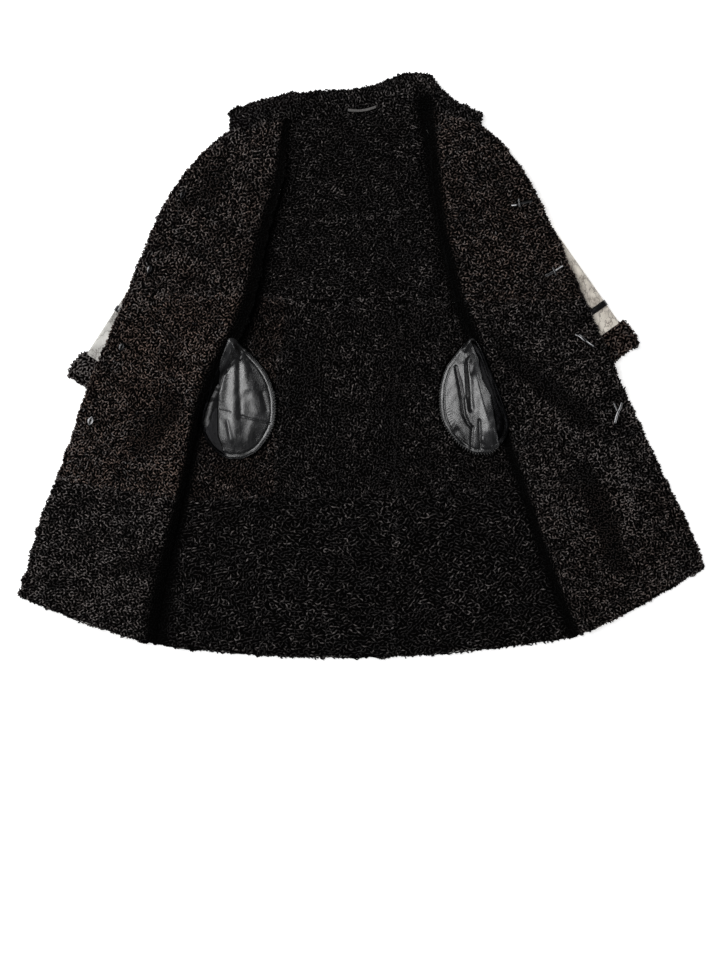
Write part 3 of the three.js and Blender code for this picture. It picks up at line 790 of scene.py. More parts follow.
class Waves:
    """A sum of plane waves of one length, whose crests are where locks lie."""

    COUNT = 36
    LONGEST_STEP = 0.16  # of a wave
    LEAST_BEND = 1e-3  # of the sharpest crest's bend

    def __init__(self, fleece: Fleece, chance: np.random.Generator) -> None:
        """Draws the waves' directions and phases.

        Args:
            fleece: The fleece, for the waves' length and lie.
            chance: Where the draws come from.
        """
        ways = chance.normal(size=(self.COUNT, 3)) * np.array(fleece.lie)
        ways /= np.linalg.norm(ways, axis=1)[:, None]
        self.numbers = ways * 2 * math.pi / (fleece.wave * chance.uniform(0.8, 1.25, (self.COUNT, 1)))
        self.phases = chance.uniform(0.0, 2 * math.pi, self.COUNT)

    def crest(
        self, spots: np.ndarray, first: np.ndarray, second: np.ndarray, at: np.ndarray
    ) -> tuple[np.ndarray, np.ndarray]:
        """Finds which way a crest runs, and how far off it is.

        Args:
            spots: Points on a surface.
            first: One tangent of the surface at each.
            second: The other tangent.
            at: How far along the two tangents to look from each point, n by 2.

        Returns:
            The crest's direction along the tangents, and the step that leads onto it.
        """
        u = first @ self.numbers.T
        v = second @ self.numbers.T
        angle = spots @ self.numbers.T + at[:, :1] * u + at[:, 1:] * v + self.phases
        down, level = np.sin(angle), np.cos(angle)
        slope = -np.stack([(down * u).sum(1), (down * v).sum(1)], axis=1)
        uu, uv, vv = -(level * u * u).sum(1), -(level * u * v).sum(1), -(level * v * v).sum(1)
        turn = 0.5 * np.arctan2(2 * uv, uu - vv)
        across = np.stack([np.cos(turn), np.sin(turn)], axis=1)
        bend = uu * across[:, 0] ** 2 + 2 * uv * across[:, 0] * across[:, 1] + vv * across[:, 1] ** 2
        other = uu + vv - bend
        swap = other < bend
        across[swap] = np.stack([-across[swap, 1], across[swap, 0]], axis=1)
        bend = np.where(swap, other, bend)
        climb = (slope * across).sum(1)
        wave = 2 * math.pi / np.linalg.norm(self.numbers[0])
        scale = np.abs(np.minimum(bend, 0.0)) + self.LEAST_BEND * np.abs(bend).max()
        step = np.clip(climb / scale, -self.LONGEST_STEP * wave, self.LONGEST_STEP * wave)
        return np.stack([-across[:, 1], across[:, 0]], axis=1), across * step[:, None]


class LockMaker:
    """Grows curled locks on a surface, each a tapered tube with its ends tucked down."""

    RINGS = 3
    SIDES = 3
    CLIMBS = 4  # steps from a scattered point onto its crest
    PACES = 2  # steps along the crest from ring to ring
    TUCK = 0.0012
    ROOM = 0.42  # between a lock's middle and another's ends, in waves
    APART = 0.62  # between the middles of two locks, in lengths

    def __init__(self, fleece: Fleece, seed: int) -> None:
        """Sets how the locks grow, and the seed of their chances.

        Args:
            fleece: How they grow.
            seed: The seed of their chances.
        """
        self.fleece = fleece
        self.chance = np.random.default_rng(seed)
        self.waves = Waves(fleece, self.chance)

    def scatter(self, mesh: bpy.types.Mesh, lowest_tilt: float) -> tuple[np.ndarray, np.ndarray]:
        """Scatters evenly spaced points over a mesh.

        Args:
            mesh: The surface.
            lowest_tilt: The least Z of a face's normal that takes any.

        Returns:
            The points and their normals.
        """
        mesh.calc_loop_triangles()
        triangles = np.empty(len(mesh.loop_triangles) * 3, np.int32)
        mesh.loop_triangles.foreach_get("vertices", triangles)
        triangles = triangles.reshape(-1, 3)
        points, normals = points_of(mesh), normals_of(mesh)
        a, b, c = (points[triangles[:, k]] for k in range(3))
        cross = np.cross(b - a, c - a)
        area = np.linalg.norm(cross, axis=1) / 2
        area[cross[:, 2] < lowest_tilt * 2 * area] = 0.0
        tries = int(area.sum() / self.fleece.wave**2 * TRIES)
        chosen = self.chance.choice(len(area), tries, p=area / area.sum())
        u, v = self.chance.random((2, tries))
        over = u + v > 1
        u[over], v[over] = 1 - u[over], 1 - v[over]
        shares = np.stack([1 - u - v, u, v], axis=1)[:, :, None]
        corners = triangles[chosen]
        spots = (points[corners] * shares).sum(1)
        facing = (normals[corners] * shares).sum(1)
        return spots, facing / np.linalg.norm(facing, axis=1)[:, None]

    def paths(self, spots: np.ndarray, facing: np.ndarray) -> tuple[np.ndarray, np.ndarray]:
        """Traces the crests through scattered points, and keeps the paths that don't crowd others.

        Args:
            spots: The points.
            facing: Their normals.

        Returns:
            The kept paths' points, n by rings by 3, and their normals.
        """
        first = np.cross(facing, np.array([0.31, 0.95, 0.05]))
        first /= np.linalg.norm(first, axis=1)[:, None]
        second = np.cross(facing, first)
        at = np.zeros((len(spots), 2))
        for _ in range(self.CLIMBS):
            way, step = self.waves.crest(spots, first, second, at)
            at += step
        way *= np.where(self.chance.random(len(spots)) < 0.5, -1.0, 1.0)[:, None]
        stride = self.fleece.length * self.chance.uniform(0.6, 1.4, (len(spots), 1)) / (self.RINGS - 1)
        half = self.RINGS // 2
        sides = []
        for sign in (-1.0, 1.0):
            here, ahead, walked = at.copy(), way * sign, []
            for _ in range(half):
                for _ in range(self.PACES):
                    here = here + ahead * stride / self.PACES
                    now, step = self.waves.crest(spots, first, second, here)
                    here = here + step
                    ahead = now * np.sign((now * ahead).sum(1))[:, None]
                walked.append(here)
            sides.append(walked)
        trail = np.stack(sides[0][::-1] + [at] + sides[1], axis=1)
        paths = spots[:, None] + trail[:, :, :1] * first[:, None] + trail[:, :, 1:] * second[:, None]
        kept = self._uncrowded(paths)
        return paths[kept], facing[kept]

    def _uncrowded(self, paths: np.ndarray) -> list[int]:
        """The indices of paths whose middles keep clear of the paths kept before them.

        Args:
            paths: The paths, n by rings by 3.

        Returns:
            The indices, in the order of the paths.
        """
        room, apart = self.ROOM * self.fleece.wave, self.APART * self.fleece.length
        size = max(room, apart)
        middle = self.RINGS // 2
        cells = np.floor(paths / size).astype(int).tolist()
        places = paths.tolist()
        filled: dict[tuple[int, int, int], list[tuple[Place, float]]] = {}
        around = [(i, j, k) for i in (-1, 0, 1) for j in (-1, 0, 1) for k in (-1, 0, 1)]
        kept: list[int] = []
        for index, (own, cell) in enumerate(zip(places, cells)):
            x, y, z = own[middle]
            cx, cy, cz = cell[middle]
            near = (
                (x - p[0]) ** 2 + (y - p[1]) ** 2 + (z - p[2]) ** 2 < reach
                for i, j, k in around
                for p, reach in filled.get((cx + i, cy + j, cz + k), ())
            )
            if not any(near):
                for ring in range(self.RINGS):
                    reach = apart**2 * 0.5 if ring == middle else room**2
                    filled.setdefault(tuple(cell[ring]), []).append((own[ring], reach))
                kept.append(index)
        return kept

    def mesh(
        self,
        name: str,
        paths: np.ndarray,
        facing: np.ndarray,
        brown: np.ndarray,
        pressed_and_shaded: np.ndarray,
        worn: np.ndarray,
    ) -> bpy.types.Mesh:
        """Makes the locks.

        Args:
            name: The mesh's name.
            paths: The locks' paths on the skin, n by rings by 3.
            facing: The skin's normal at each lock.
            brown: How brown each lock is, 0 to 1.
            pressed_and_shaded: How flat each lock lies, and how much painted shade darkens it, 0 to 1.
            worn: How much paler each lock is than the fleece's own, as a factor: painted light on the folds'
                ridges, painted shade in their troughs and the creases, and random patches.

        Returns:
            One mesh of all the locks.
        """
        fleece, count, rings, sides = self.fleece, len(paths), self.RINGS, self.SIDES
        crown = 1.0 - 0.5 * np.linspace(-1.0, 1.0, rings)[None] ** 2
        full = 1.0 - 0.55 * pressed_and_shaded[:, None]
        rise = fleece.rise * self.chance.uniform(0.6, 1.35, (count, 1)) * full
        lift = rise * (2.0 * crown - 1.0) - self.TUCK
        paths = paths + lift[:, :, None] * facing[:, None, :]
        ahead = np.gradient(paths, axis=1)
        ahead /= np.linalg.norm(ahead, axis=2, keepdims=True)
        aside = np.cross(ahead, facing[:, None, :])
        aside /= np.linalg.norm(aside, axis=2, keepdims=True)
        above = np.cross(aside, ahead)
        thick = fleece.radius * self.chance.uniform(0.85, 1.2, (count, 1)) * (0.62 + 0.38 * crown)
        angles = np.arange(sides) * 2 * math.pi / sides + math.pi / 2
        around = (
            np.cos(angles)[None, None, :, None] * aside[:, :, None, :]
            + np.sin(angles)[None, None, :, None] * above[:, :, None, :]
        )
        tube = paths[:, :, None, :] + thick[:, :, None, None] * around
        tuck = facing[:, None, :] * (0.5 * rise)[:, :, None]
        first = paths[:, :1] - ahead[:, :1] * thick[:, :1, None] - tuck
        last = paths[:, -1:] + ahead[:, -1:] * thick[:, -1:, None] - tuck
        points = np.concatenate([tube.reshape(count, -1, 3), first, last], axis=1)
        points[:, :, 2] = np.maximum(points[:, :, 2], FLOOR_CLEAR)
        quads, ends = self._faces()
        base = (np.arange(count) * points.shape[1])[:, None, None]
        faces = [(quads[None] + base).reshape(-1, 4), (ends[None] + base).reshape(-1, 3)]
        mesh = mesh_from(name, points.reshape(-1, 3), faces)
        # the colour's crown is dimmed in the creases as painted shade
        self._colour(mesh, crown * (1.0 - 0.9 * pressed_and_shaded[:, None]), brown, worn)
        self._unroll(mesh, count)
        return mesh

    def _faces(self) -> tuple[np.ndarray, np.ndarray]:
        """The four-cornered and the three-cornered faces of one lock.

        Returns:
            The points of each, as two arrays.
        """
        rings, sides = self.RINGS, self.SIDES
        tip, tail = rings * sides, rings * sides + 1
        quads, ends = [], []
        for k in range(sides):
            after = (k + 1) % sides
            for i in range(rings - 1):
                near, far = i * sides, (i + 1) * sides
                quads.append([near + k, far + k, far + after, near + after])
            ends.append([tip, k, after])
            ends.append([tail, tail - 1 - sides + after, tail - 1 - sides + k])
        return np.array(quads), np.array(ends)

    def _colour(
        self, mesh: bpy.types.Mesh, crown: np.ndarray, brown: np.ndarray, worn: np.ndarray
    ) -> None:
        """Writes each point's crown, tone and brownness as the colour "lock".

        Args:
            mesh: The locks.
            crown: How near its crown each ring of a lock is, 0 to 1, dimmed in the creases as painted shade.
            brown: How brown each lock is, 0 to 1.
            worn: How much paler each is, as a factor, with painted light and shade from the folds and
                creases.
        """
        count = len(brown)
        # a painted highlight, brightest on each lock's top corner
        around = np.broadcast_to(crown, (count, self.RINGS))[:, :, None] * self._painted_highlight_around()
        red = np.concatenate([around.reshape(count, -1), np.zeros((count, 2))], axis=1)
        tone = np.clip(self.chance.normal(self.fleece.light, self.fleece.spread, count) * worn, 0.0, 1.0)
        green = np.repeat(tone[:, None], red.shape[1], axis=1)
        blue = np.repeat(brown[:, None], red.shape[1], axis=1)
        colour = np.stack([red, green, blue, np.ones_like(red)], axis=2)
        layer = mesh.attributes.new("lock", "FLOAT_COLOR", "POINT")
        layer.data.foreach_set("color", colour.astype(np.float32).ravel())

    def _painted_highlight_around(self) -> np.ndarray:
        """How bright a painted highlight makes each corner of a lock's section, 0.4 to 1, brightest at the
        top.
        """
        angles = np.arange(self.SIDES) * 2 * math.pi / self.SIDES + math.pi / 2
        return 0.4 + 0.6 * (0.5 + 0.5 * np.sin(angles))

    def _unroll(self, mesh: bpy.types.Mesh, count: int) -> None:
        """Unrolls each lock on the map "Lock", its length along U and its girth along V.

        Args:
            mesh: The locks.
            count: How many there are.
        """
        rings, sides = self.RINGS, self.SIDES
        body = [
            [(i, k), (i + 1, k), (i + 1, k + 1), (i, k + 1)] for k in range(sides) for i in range(rings - 1)
        ]
        ends = []
        for k in range(sides):
            ends.append([(-0.5, k + 0.5), (0, k), (0, k + 1)])
            ends.append([(rings - 0.5, k + 0.5), (rings - 1, k + 1), (rings - 1, k)])
        scale = np.array([1.0 / rings, 1.0 / sides])
        shift = self.chance.random((count, 1, 1, 2)) * 4
        body_map = np.array(body, float)[None] * scale + shift
        ends_map = np.array(ends, float)[None] * scale + shift
        layer = mesh.uv_layers.new(name="Lock")
        unrolled = np.concatenate([body_map.reshape(-1, 2), ends_map.reshape(-1, 2)])
        layer.data.foreach_set("uv", unrolled.astype(np.float32).ravel())


# ------------------------------------------------------------------ the coat's pieces


@dataclass
class Wardrobe:
    """The finishes that the pieces share."""

    wool: bpy.types.Material
    roots: bpy.types.Material
    suede: dict[Side, bpy.types.Material]
    leather: bpy.types.Material
    bag: bpy.types.Material
    lace: bpy.types.Material
    tape: bpy.types.Material
    horn: bpy.types.Material
    thread: bpy.types.Material

    @classmethod
    def make(cls) -> "Wardrobe":
        """Makes every finish once.

        Returns:
            The finishes.
        """
        return cls(
            wool=WoolFinish("curly_wool").material(),
            roots=RootFinish().material(),
            suede={
                Side.RIGHT: SuedeFinish().material(),
                # the left sleeve's suede is a warmer, paler copy; its extra paleness is painted light
                # against the shade of the left front's edge
                Side.LEFT: SuedeFinish(
                    name="distressed_suede_warm_painted_light",
                    pale=(0.80, 0.745, 0.66, 1.0),
                    worn=(0.50, 0.45, 0.39, 1.0),
                    crack=(0.11, 0.09, 0.08, 1.0),
                ).material(),
            },
            leather=LeatherFinish("black_leather", (0.02, 0.02, 0.021, 1.0), 0.16, 0.0).material(),
            bag=LeatherFinish("bag_leather", (0.018, 0.018, 0.019, 1.0), 0.20, 0.12, grain=0.20).material(),
            # the lace's near-white second colour is the painted highlight of the thongs and buttonholes
            lace=LeatherFinish("lace_leather", (0.92, 0.92, 0.94, 1.0), 0.16, 0.0).material(),
            tape=TapeFinish().material(),
            horn=HornFinish().material(),
            thread=ThreadFinish().material(),
        )


@dataclass
class Frame:
    """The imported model, and the calls that put pieces in its nodes' place."""

    nodes: dict[str, bpy.types.Object]
    trees: dict[tuple[str, ...], BVHTree] = field(default_factory=dict)

    def covers(self, prefixes: tuple[str, ...]) -> BVHTree:
        """The nodes whose names start in one of these ways, for rays.

        Args:
            prefixes: How the names start.

        Returns:
            The tree of these nodes, made once.
        """
        if prefixes not in self.trees:
            self.trees[prefixes] = tree_of(o for n, o in self.nodes.items() if n.startswith(prefixes))
        return self.trees[prefixes]

    def stand_in(self, piece: bpy.types.Object, slot: str, *nodes: str) -> None:
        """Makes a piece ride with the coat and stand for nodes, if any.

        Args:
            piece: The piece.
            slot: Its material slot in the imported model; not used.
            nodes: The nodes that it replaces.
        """
        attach(piece, BODY)
        if nodes:
            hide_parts(*nodes)


def declare_sheet(piece: bpy.types.Object, node: str, layers: int = 1, **more: Any) -> None:
    """Works out how wide and long a piece would be as a sheet, from its node's box, or more if its area
    needs it, and keeps neither.

    Args:
        piece: The sheet.
        node: The node that it stands for.
        layers: How many layers of the cut lie on each other, folded across its width.
    """
    low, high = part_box(node)
    area = surface_area(piece.data) / 2
    width, length = layers * (high.x - low.x), high.y - low.y
    scale = max(1.0, math.sqrt(area / (width * length)))
    width * scale
    length * scale


TRIMS = ("pocket_", "thong_", "buttonhole_", "hanger_")
PELTS = ("back_", "front_", "collar")
NUDGE = 0.0003  # off a surface, so that a ray from it doesn't hit it


@dataclass
class Pelt:
    """One cut of sheepskin: its skin, and the locks of fleece that grow on it."""

    node: str
    slot: str
    fleece: Fleece
    seed: int
    folds: tuple[Fold, ...] = ()
    creases: tuple[Crease, ...] = ()
    pile: float = 0.0030
    lowest_tilt: float = -0.25
    covered_by: tuple[str, ...] = TRIMS
    cover_reach: float = 0.016
    levels: int = 2
    layers: int = 1
    overlap: float = 0.0010
    tuft: float = 0.0042
    flat_cut: bool = False
    sharp: float = 38.0

    THICK = 0.010
    SQUEEZED = 0.72  # the most of its thickness that the pile presses down
    FULL_FOLD = 0.007  # the relief that would make the locks twice as pale: painted light on a ridge, painted shade in a trough
    PATCHES = 41.0  # the pace at which paler locks come and go
    DRIFT = 31.0  # the pace at which browner locks do
    FINE_TUFTS = 250.0  # the pace of the tufts along a free edge
    WIDE_TUFTS = 90.0  # the pace at which they grow longer and shorter
    BELOW = 0.002  # under a spot, where the search for what covers it starts
    BESIDE = 0.0025  # where a pelt that is sewn on is looked for
    SEARCH = (0.006, 0.016)  # from how high, and how far down

    def build(self, frame: Frame, wardrobe: Wardrobe) -> int:
        """Builds the pelt.

        Args:
            frame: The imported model.
            wardrobe: The finishes.

        Returns:
            How many locks it has.
        """
        skin = self._skin(frame, wardrobe)
        maker = LockMaker(self.fleece, self.seed)
        spots, facing = maker.scatter(skin.data, self.lowest_tilt)
        paths, facing = maker.paths(spots, facing)
        middles = paths[:, maker.RINGS // 2]
        covers, pelts = frame.covers(self.covered_by), frame.covers(PELTS)
        is_open = [
            self._is_open(covers, spot) and not self._is_seam(pelts, spot, way)
            for spot, way in zip(middles, facing)
        ]
        paths, facing, middles = paths[is_open], facing[is_open], middles[is_open]
        # the creases flatten the locks and paint shade on them
        pressed_and_shaded = np.zeros(len(middles))
        for crease in self.creases:
            pressed_and_shaded = np.maximum(pressed_and_shaded, crease.pressed_and_shaded(middles))
        name = f"{self.node}_locks"
        brown = self._brownness(middles, maker.chance)
        # the folds paint light on the locks along their ridges and shade in their troughs, the creases paint
        # shade, and the clouds add random paler patches
        worn = 1.0 + np.clip(relief(self.folds, middles) / self.FULL_FOLD, -0.75, 0.5)
        worn = worn * (1.0 - 0.85 * pressed_and_shaded) * (1.0 + 0.22 * clouds(middles, self.PATCHES))
        locks = link(name, maker.mesh(name, paths, facing, brown, pressed_and_shaded, worn), wardrobe.wool)
        frame.stand_in(skin, self.slot, self.node)
        frame.stand_in(locks, self.slot)
        declare_sheet(skin, self.node, layers=self.layers, with_pieces=[locks])
        return len(middles)

    def _skin(self, frame: Frame, wardrobe: Wardrobe) -> bpy.types.Object:
        """The skin and the matted roots: the node's form, pressed down by the pile.

        Args:
            frame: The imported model.
            wardrobe: The finishes.

        Returns:
            The skin.
        """
        joined = 0.0 if self.flat_cut else 40.0
        skin = clean_copy(frame.nodes[self.node], f"{self.node}_skin", self.sharp, joined)
        apply_modifier(
            skin,
            "SUBSURF",
            levels=self.levels,
            render_levels=self.levels,
            subdivision_type="SIMPLE" if self.flat_cut else "CATMULL_CLARK",
        )
        points, normals = points_of(skin.data), normals_of(skin.data)
        upper = smoothstep(normals[:, 2], 0.05, 0.6)
        most = self.SQUEEZED * self._thickness(skin, points, upper)
        points[:, 2] -= upper * np.minimum(self.pile - relief(self.folds, points), most)
        level = smoothstep(np.linalg.norm(normals[:, :2], axis=1), 0.5, 0.9)
        reach = self.overlap + self.tuft * self._tufts(frame.covers(PELTS), points, normals, level)
        points[:, :2] += (reach * level)[:, None] * normals[:, :2]
        points[:, 2] = np.maximum(points[:, 2], 0.0)
        move_points(skin.data, points)
        skin.data.materials.append(wardrobe.roots)
        skin.data.materials.append(wardrobe.suede[Side.RIGHT])
        tree = tree_of([skin])
        for polygon in skin.data.polygons:
            above = tree.ray_cast(polygon.center + Vector((0.0, 0.0, 0.0004)), Vector(UP), 0.03)[0]
            polygon.material_index = 1 if polygon.normal.z < -0.4 and above is not None else 0
        shade_smooth(skin, 50.0)
        return skin

    def _tufts(
        self, pelts: BVHTree, points: np.ndarray, normals: np.ndarray, level: np.ndarray
    ) -> np.ndarray:
        """How far the pelt's free edges stand out in tufts.

        Args:
            pelts: All the pelts, for rays.
            points: The skin's points.
            normals: Their normals.
            level: How level each normal is, 0 to 1.

        Returns:
            The share of a tuft's reach at each point, 0 on sides that are sewn to another pelt.
        """
        wide = clouds(points, self.WIDE_TUFTS)
        tufts = np.maximum(clouds(points, self.FINE_TUFTS) + 0.4 * wide, 0.0)
        ways = normals * np.array([1.0, 1.0, 0.0])
        for index in np.flatnonzero(level > 0.0):
            if self._is_seam(pelts, points[index], ways[index]):
                tufts[index] = 0.0
        return tufts

    def _thickness(self, skin: bpy.types.Object, points: np.ndarray, upper: np.ndarray) -> np.ndarray:
        """How far each upper point of the skin is above its underside.

        Args:
            skin: The skin.
            points: Its points.
            upper: How much each faces up, 0 to 1.

        Returns:
            The depth under each point, 0 where it doesn't face up.
        """
        tree = tree_of([skin])
        down = Vector((0.0, 0.0, -1.0))
        depths = np.zeros(len(points))
        for index in np.flatnonzero(upper > 0.0):
            hit = tree.ray_cast(Vector(points[index]) + NUDGE * down, down)
            depths[index] = self.THICK if hit[0] is None else hit[3] + NUDGE
        return depths

    def _is_open(self, covers: BVHTree, spot: np.ndarray) -> bool:
        """Whether nothing lies on the fleece at a spot."""
        start = Vector(spot) - Vector((0.0, 0.0, self.BELOW))
        return covers.ray_cast(start, Vector(UP), self.cover_reach)[0] is None

    def _is_seam(self, pelts: BVHTree, spot: np.ndarray, way: np.ndarray) -> bool:
        """Whether a spot is on a side of the pelt that is sewn to another's side.

        Args:
            pelts: All the pelts, for rays.
            spot: The spot.
            way: The way that the pelt faces there.

        Returns:
            Whether another pelt is beside it.
        """
        if abs(way[2]) > 0.5:
            return False
        level = Vector((way[0], way[1], 0.0)).normalized()
        height, down = self.SEARCH
        over = Vector(spot) + self.BESIDE * level + height * Vector(UP)
        if pelts.ray_cast(over, -Vector(UP), down)[0] is not None:
            return True
        return pelts.ray_cast(Vector(spot) + 0.0005 * level, level, 0.006)[0] is not None

    def _brownness(self, spots: np.ndarray, chance: np.random.Generator) -> np.ndarray:
        """How brown the lock at each spot is, 0 to 1.

        Args:
            spots: The spots.
            chance: Where the draws come from.

        Returns:
            The brownness of each.
        """
        drift = 0.5 + 0.5 * clouds(spots, self.DRIFT)
        share = self.fleece.brown * (0.6 + 0.8 * drift + chance.normal(0.0, 0.4, len(spots)))
        return np.clip(share, 0.0, 1.0)


TIERS = ("upper", "middle", "lower")

CREASES = (
    Crease(
        (
            (-0.150, 0.490, 0.008),
            (-0.163, 0.360, 0.012),
            (-0.192, 0.262, 0.014),
            (-0.216, 0.138, 0.019),
            (-0.240, 0.070, 0.021),
            (-0.292, -0.014, 0.018),
            (-0.322, -0.094, 0.014),
            (-0.336, -0.164, 0.012),
            (-0.358, -0.270, 0.014),
            (-0.380, -0.366, 0.018),
            (-0.400, -0.466, 0.022),
            (-0.413, -0.556, 0.025),
        )
    ),
    Crease(
        (
            (0.126, 0.520, 0.020),
            (0.138, 0.440, 0.014),
            (0.145, 0.362, 0.014),
            (0.160, 0.266, 0.012),
            (0.192, 0.126, 0.013),
            (0.220, 0.056, 0.014),
            (0.246, -0.012, 0.012),
            (0.268, -0.086, 0.010),
            (0.294, -0.164, 0.009),
            (0.322, -0.246, 0.009),
            (0.358, -0.360, 0.010),
            (0.391, -0.454, 0.011),
            (0.424, -0.542, 0.012),
        )
    ),
)


@dataclass
class Back:
    """The back's seven pelts, whose locks have a lower tone than the fronts' as painted shade."""

    fine: Fleece = Fleece(wave=0.0054, length=0.0070, radius=0.0018, rise=0.0022, brown=0.1, light=0.31)
    middle: Fleece = Fleece(brown=0.12, light=0.30)
    patchy: Fleece = Fleece(brown=0.45, light=0.31)
    wavy: Fleece = Fleece(
        wave=0.0060, length=0.0098, radius=0.0020, rise=0.0030, lie=(0.45, 1.0, 1.0), brown=0.08, light=0.33
    )
    folds: tuple[Fold, ...] = (
        Fold((-0.115, 0.030), (-0.143, -0.110), 0.022, -0.003),
        Fold((0.062, 0.080), (0.070, -0.230), 0.020, -0.003),
        Fold((-0.180, 0.132), (0.150, 0.128), 0.016, 0.002),
    )

    def pelts(self) -> list[Pelt]:
        """The pelts, from the neck to the hem.

        Returns:
            The pelts, with their fleece.
        """
        grown = {"upper": self.fine, "middle": self.middle, "lower": self.wavy}
        names = ["back_upper"] + [f"back_{t}_{p}" for t in TIERS[1:] for p in ("right", "centre", "left")]
        return [
            Pelt(
                node=name,
                slot="fleece_black",
                fleece=self.patchy if name == "back_middle_right" else grown[name.split("_")[1]],
                seed=100 + index,
                folds=self.folds,
                creases=CREASES,
                flat_cut=True,
            )
            for index, name in enumerate(names)
        ]


@dataclass
class Front:
    """One front's three pelts, whose locks have a higher tone than the back's as painted light."""

    side: Side
    brown: tuple[float, float, float]
    light: tuple[float, float, float]
    folds: tuple[Fold, ...]
    slots: tuple[str, str, str]

    def pelts(self) -> list[Pelt]:
        """The pelts, from the neck to the hem.

        Returns:
            The pelts, with their fleece.
        """
        seed = 200 if self.side is Side.RIGHT else 300
        tiers = zip(TIERS, self.brown, self.light, self.slots)
        return [
            Pelt(
                node=f"front_{self.side.value}_{tier}",
                slot=slot,
                fleece=Fleece(brown=brown, light=light, spread=0.28),
                seed=seed + index,
                folds=self.folds,
                creases=CREASES,
            )
            for index, (tier, brown, light, slot) in enumerate(tiers)
        ]


RIGHT_FRONT = Front(
    side=Side.RIGHT,
    brown=(0.4, 0.7, 0.15),
    light=(0.54, 0.58, 0.52),
    folds=(
        Fold((-0.293, 0.040), (-0.423, -0.560), 0.022, 0.004),
        Fold((-0.373, -0.080), (-0.443, -0.160), 0.022, -0.006),
        Fold((-0.410, -0.400), (-0.482, -0.404), 0.016, -0.005),
        Fold((-0.270, 0.390), (-0.343, 0.310), 0.024, -0.004),
    ),
    slots=("fleece_brown", "fleece_brown", "fleece_black"),
)
LEFT_FRONT = Front(
    side=Side.LEFT,
    brown=(0.5, 0.18, 0.3),
    light=(0.49, 0.46, 0.50),
    folds=(
        Fold((0.297, 0.010), (0.447, -0.112), 0.022, -0.008),
        Fold((0.447, -0.212), (0.517, -0.392), 0.020, -0.008),
        Fold((0.330, -0.060), (0.470, -0.185), 0.022, 0.005),
        Fold((0.490, -0.180), (0.560, -0.350), 0.020, 0.005),
    ),
    slots=("fleece_brown", "fleece_black", "fleece_black"),
)


def collar_pelt() -> Pelt:
    """The collar: one band of fleece that stands up at the left of the neck."""
    fleece = Fleece(brown=0.1, light=0.36)
    return Pelt("collar", "fleece_black", fleece, seed=400, creases=CREASES[1:], lowest_tilt=-0.5)


def cuff_pelts() -> list[Pelt]:
    """The two turned-up cuffs, fleece all round.

    Returns:
        The right cuff and the left.
    """
    tones = {Side.RIGHT: (0.12, 0.86), Side.LEFT: (0.85, 0.64)}
    return [
        Pelt(
            node=f"cuff_{side.value}",
            slot="fleece_cuff",
            fleece=Fleece(wave=0.0060, length=0.0085, radius=0.0020, rise=0.0034, brown=brown, light=light),
            seed=500 + index,
            lowest_tilt=-0.7,
            covered_by=("front_",),
            layers=2,
            sharp=100.0,
        )
        for index, (side, (brown, light)) in enumerate(tones.items())
    ]


@dataclass
class Sleeve:
    """A flat sleeve of suede, folded at its outer edge, with its creases."""

    side: Side
    folds: tuple[Fold, ...]
    levels: int = 3
    ripple: float = 0.0007
    outer_from: Point = (0.012, 0.018)

    def build(self, frame: Frame, wardrobe: Wardrobe) -> None:
        """Builds the sleeve.

        Args:
            frame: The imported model.
            wardrobe: The finishes.
        """
        node = f"sleeve_{self.side.value}"
        sleeve = clean_copy(frame.nodes[node], f"{node}_suede")
        apply_modifier(sleeve, "SUBSURF", levels=self.levels, render_levels=self.levels)
        points, normals = points_of(sleeve.data), normals_of(sleeve.data)
        ripple = np.sin(points[:, 0] * 170 + 3 * np.sin(points[:, 1] * 41)) * np.sin(points[:, 1] * 133)
        outer = smoothstep(normals[:, 2], 0.1, 0.7) * smoothstep(points[:, 2], *self.outer_from)
        points[:, 2] += outer * (relief(self.folds, points) + self.ripple * ripple)
        move_points(sleeve.data, points)
        sleeve.data.materials.append(wardrobe.suede[self.side])
        shade_smooth(sleeve, 60.0)
        frame.stand_in(sleeve, "suede", node)
        declare_sheet(sleeve, node, layers=2)


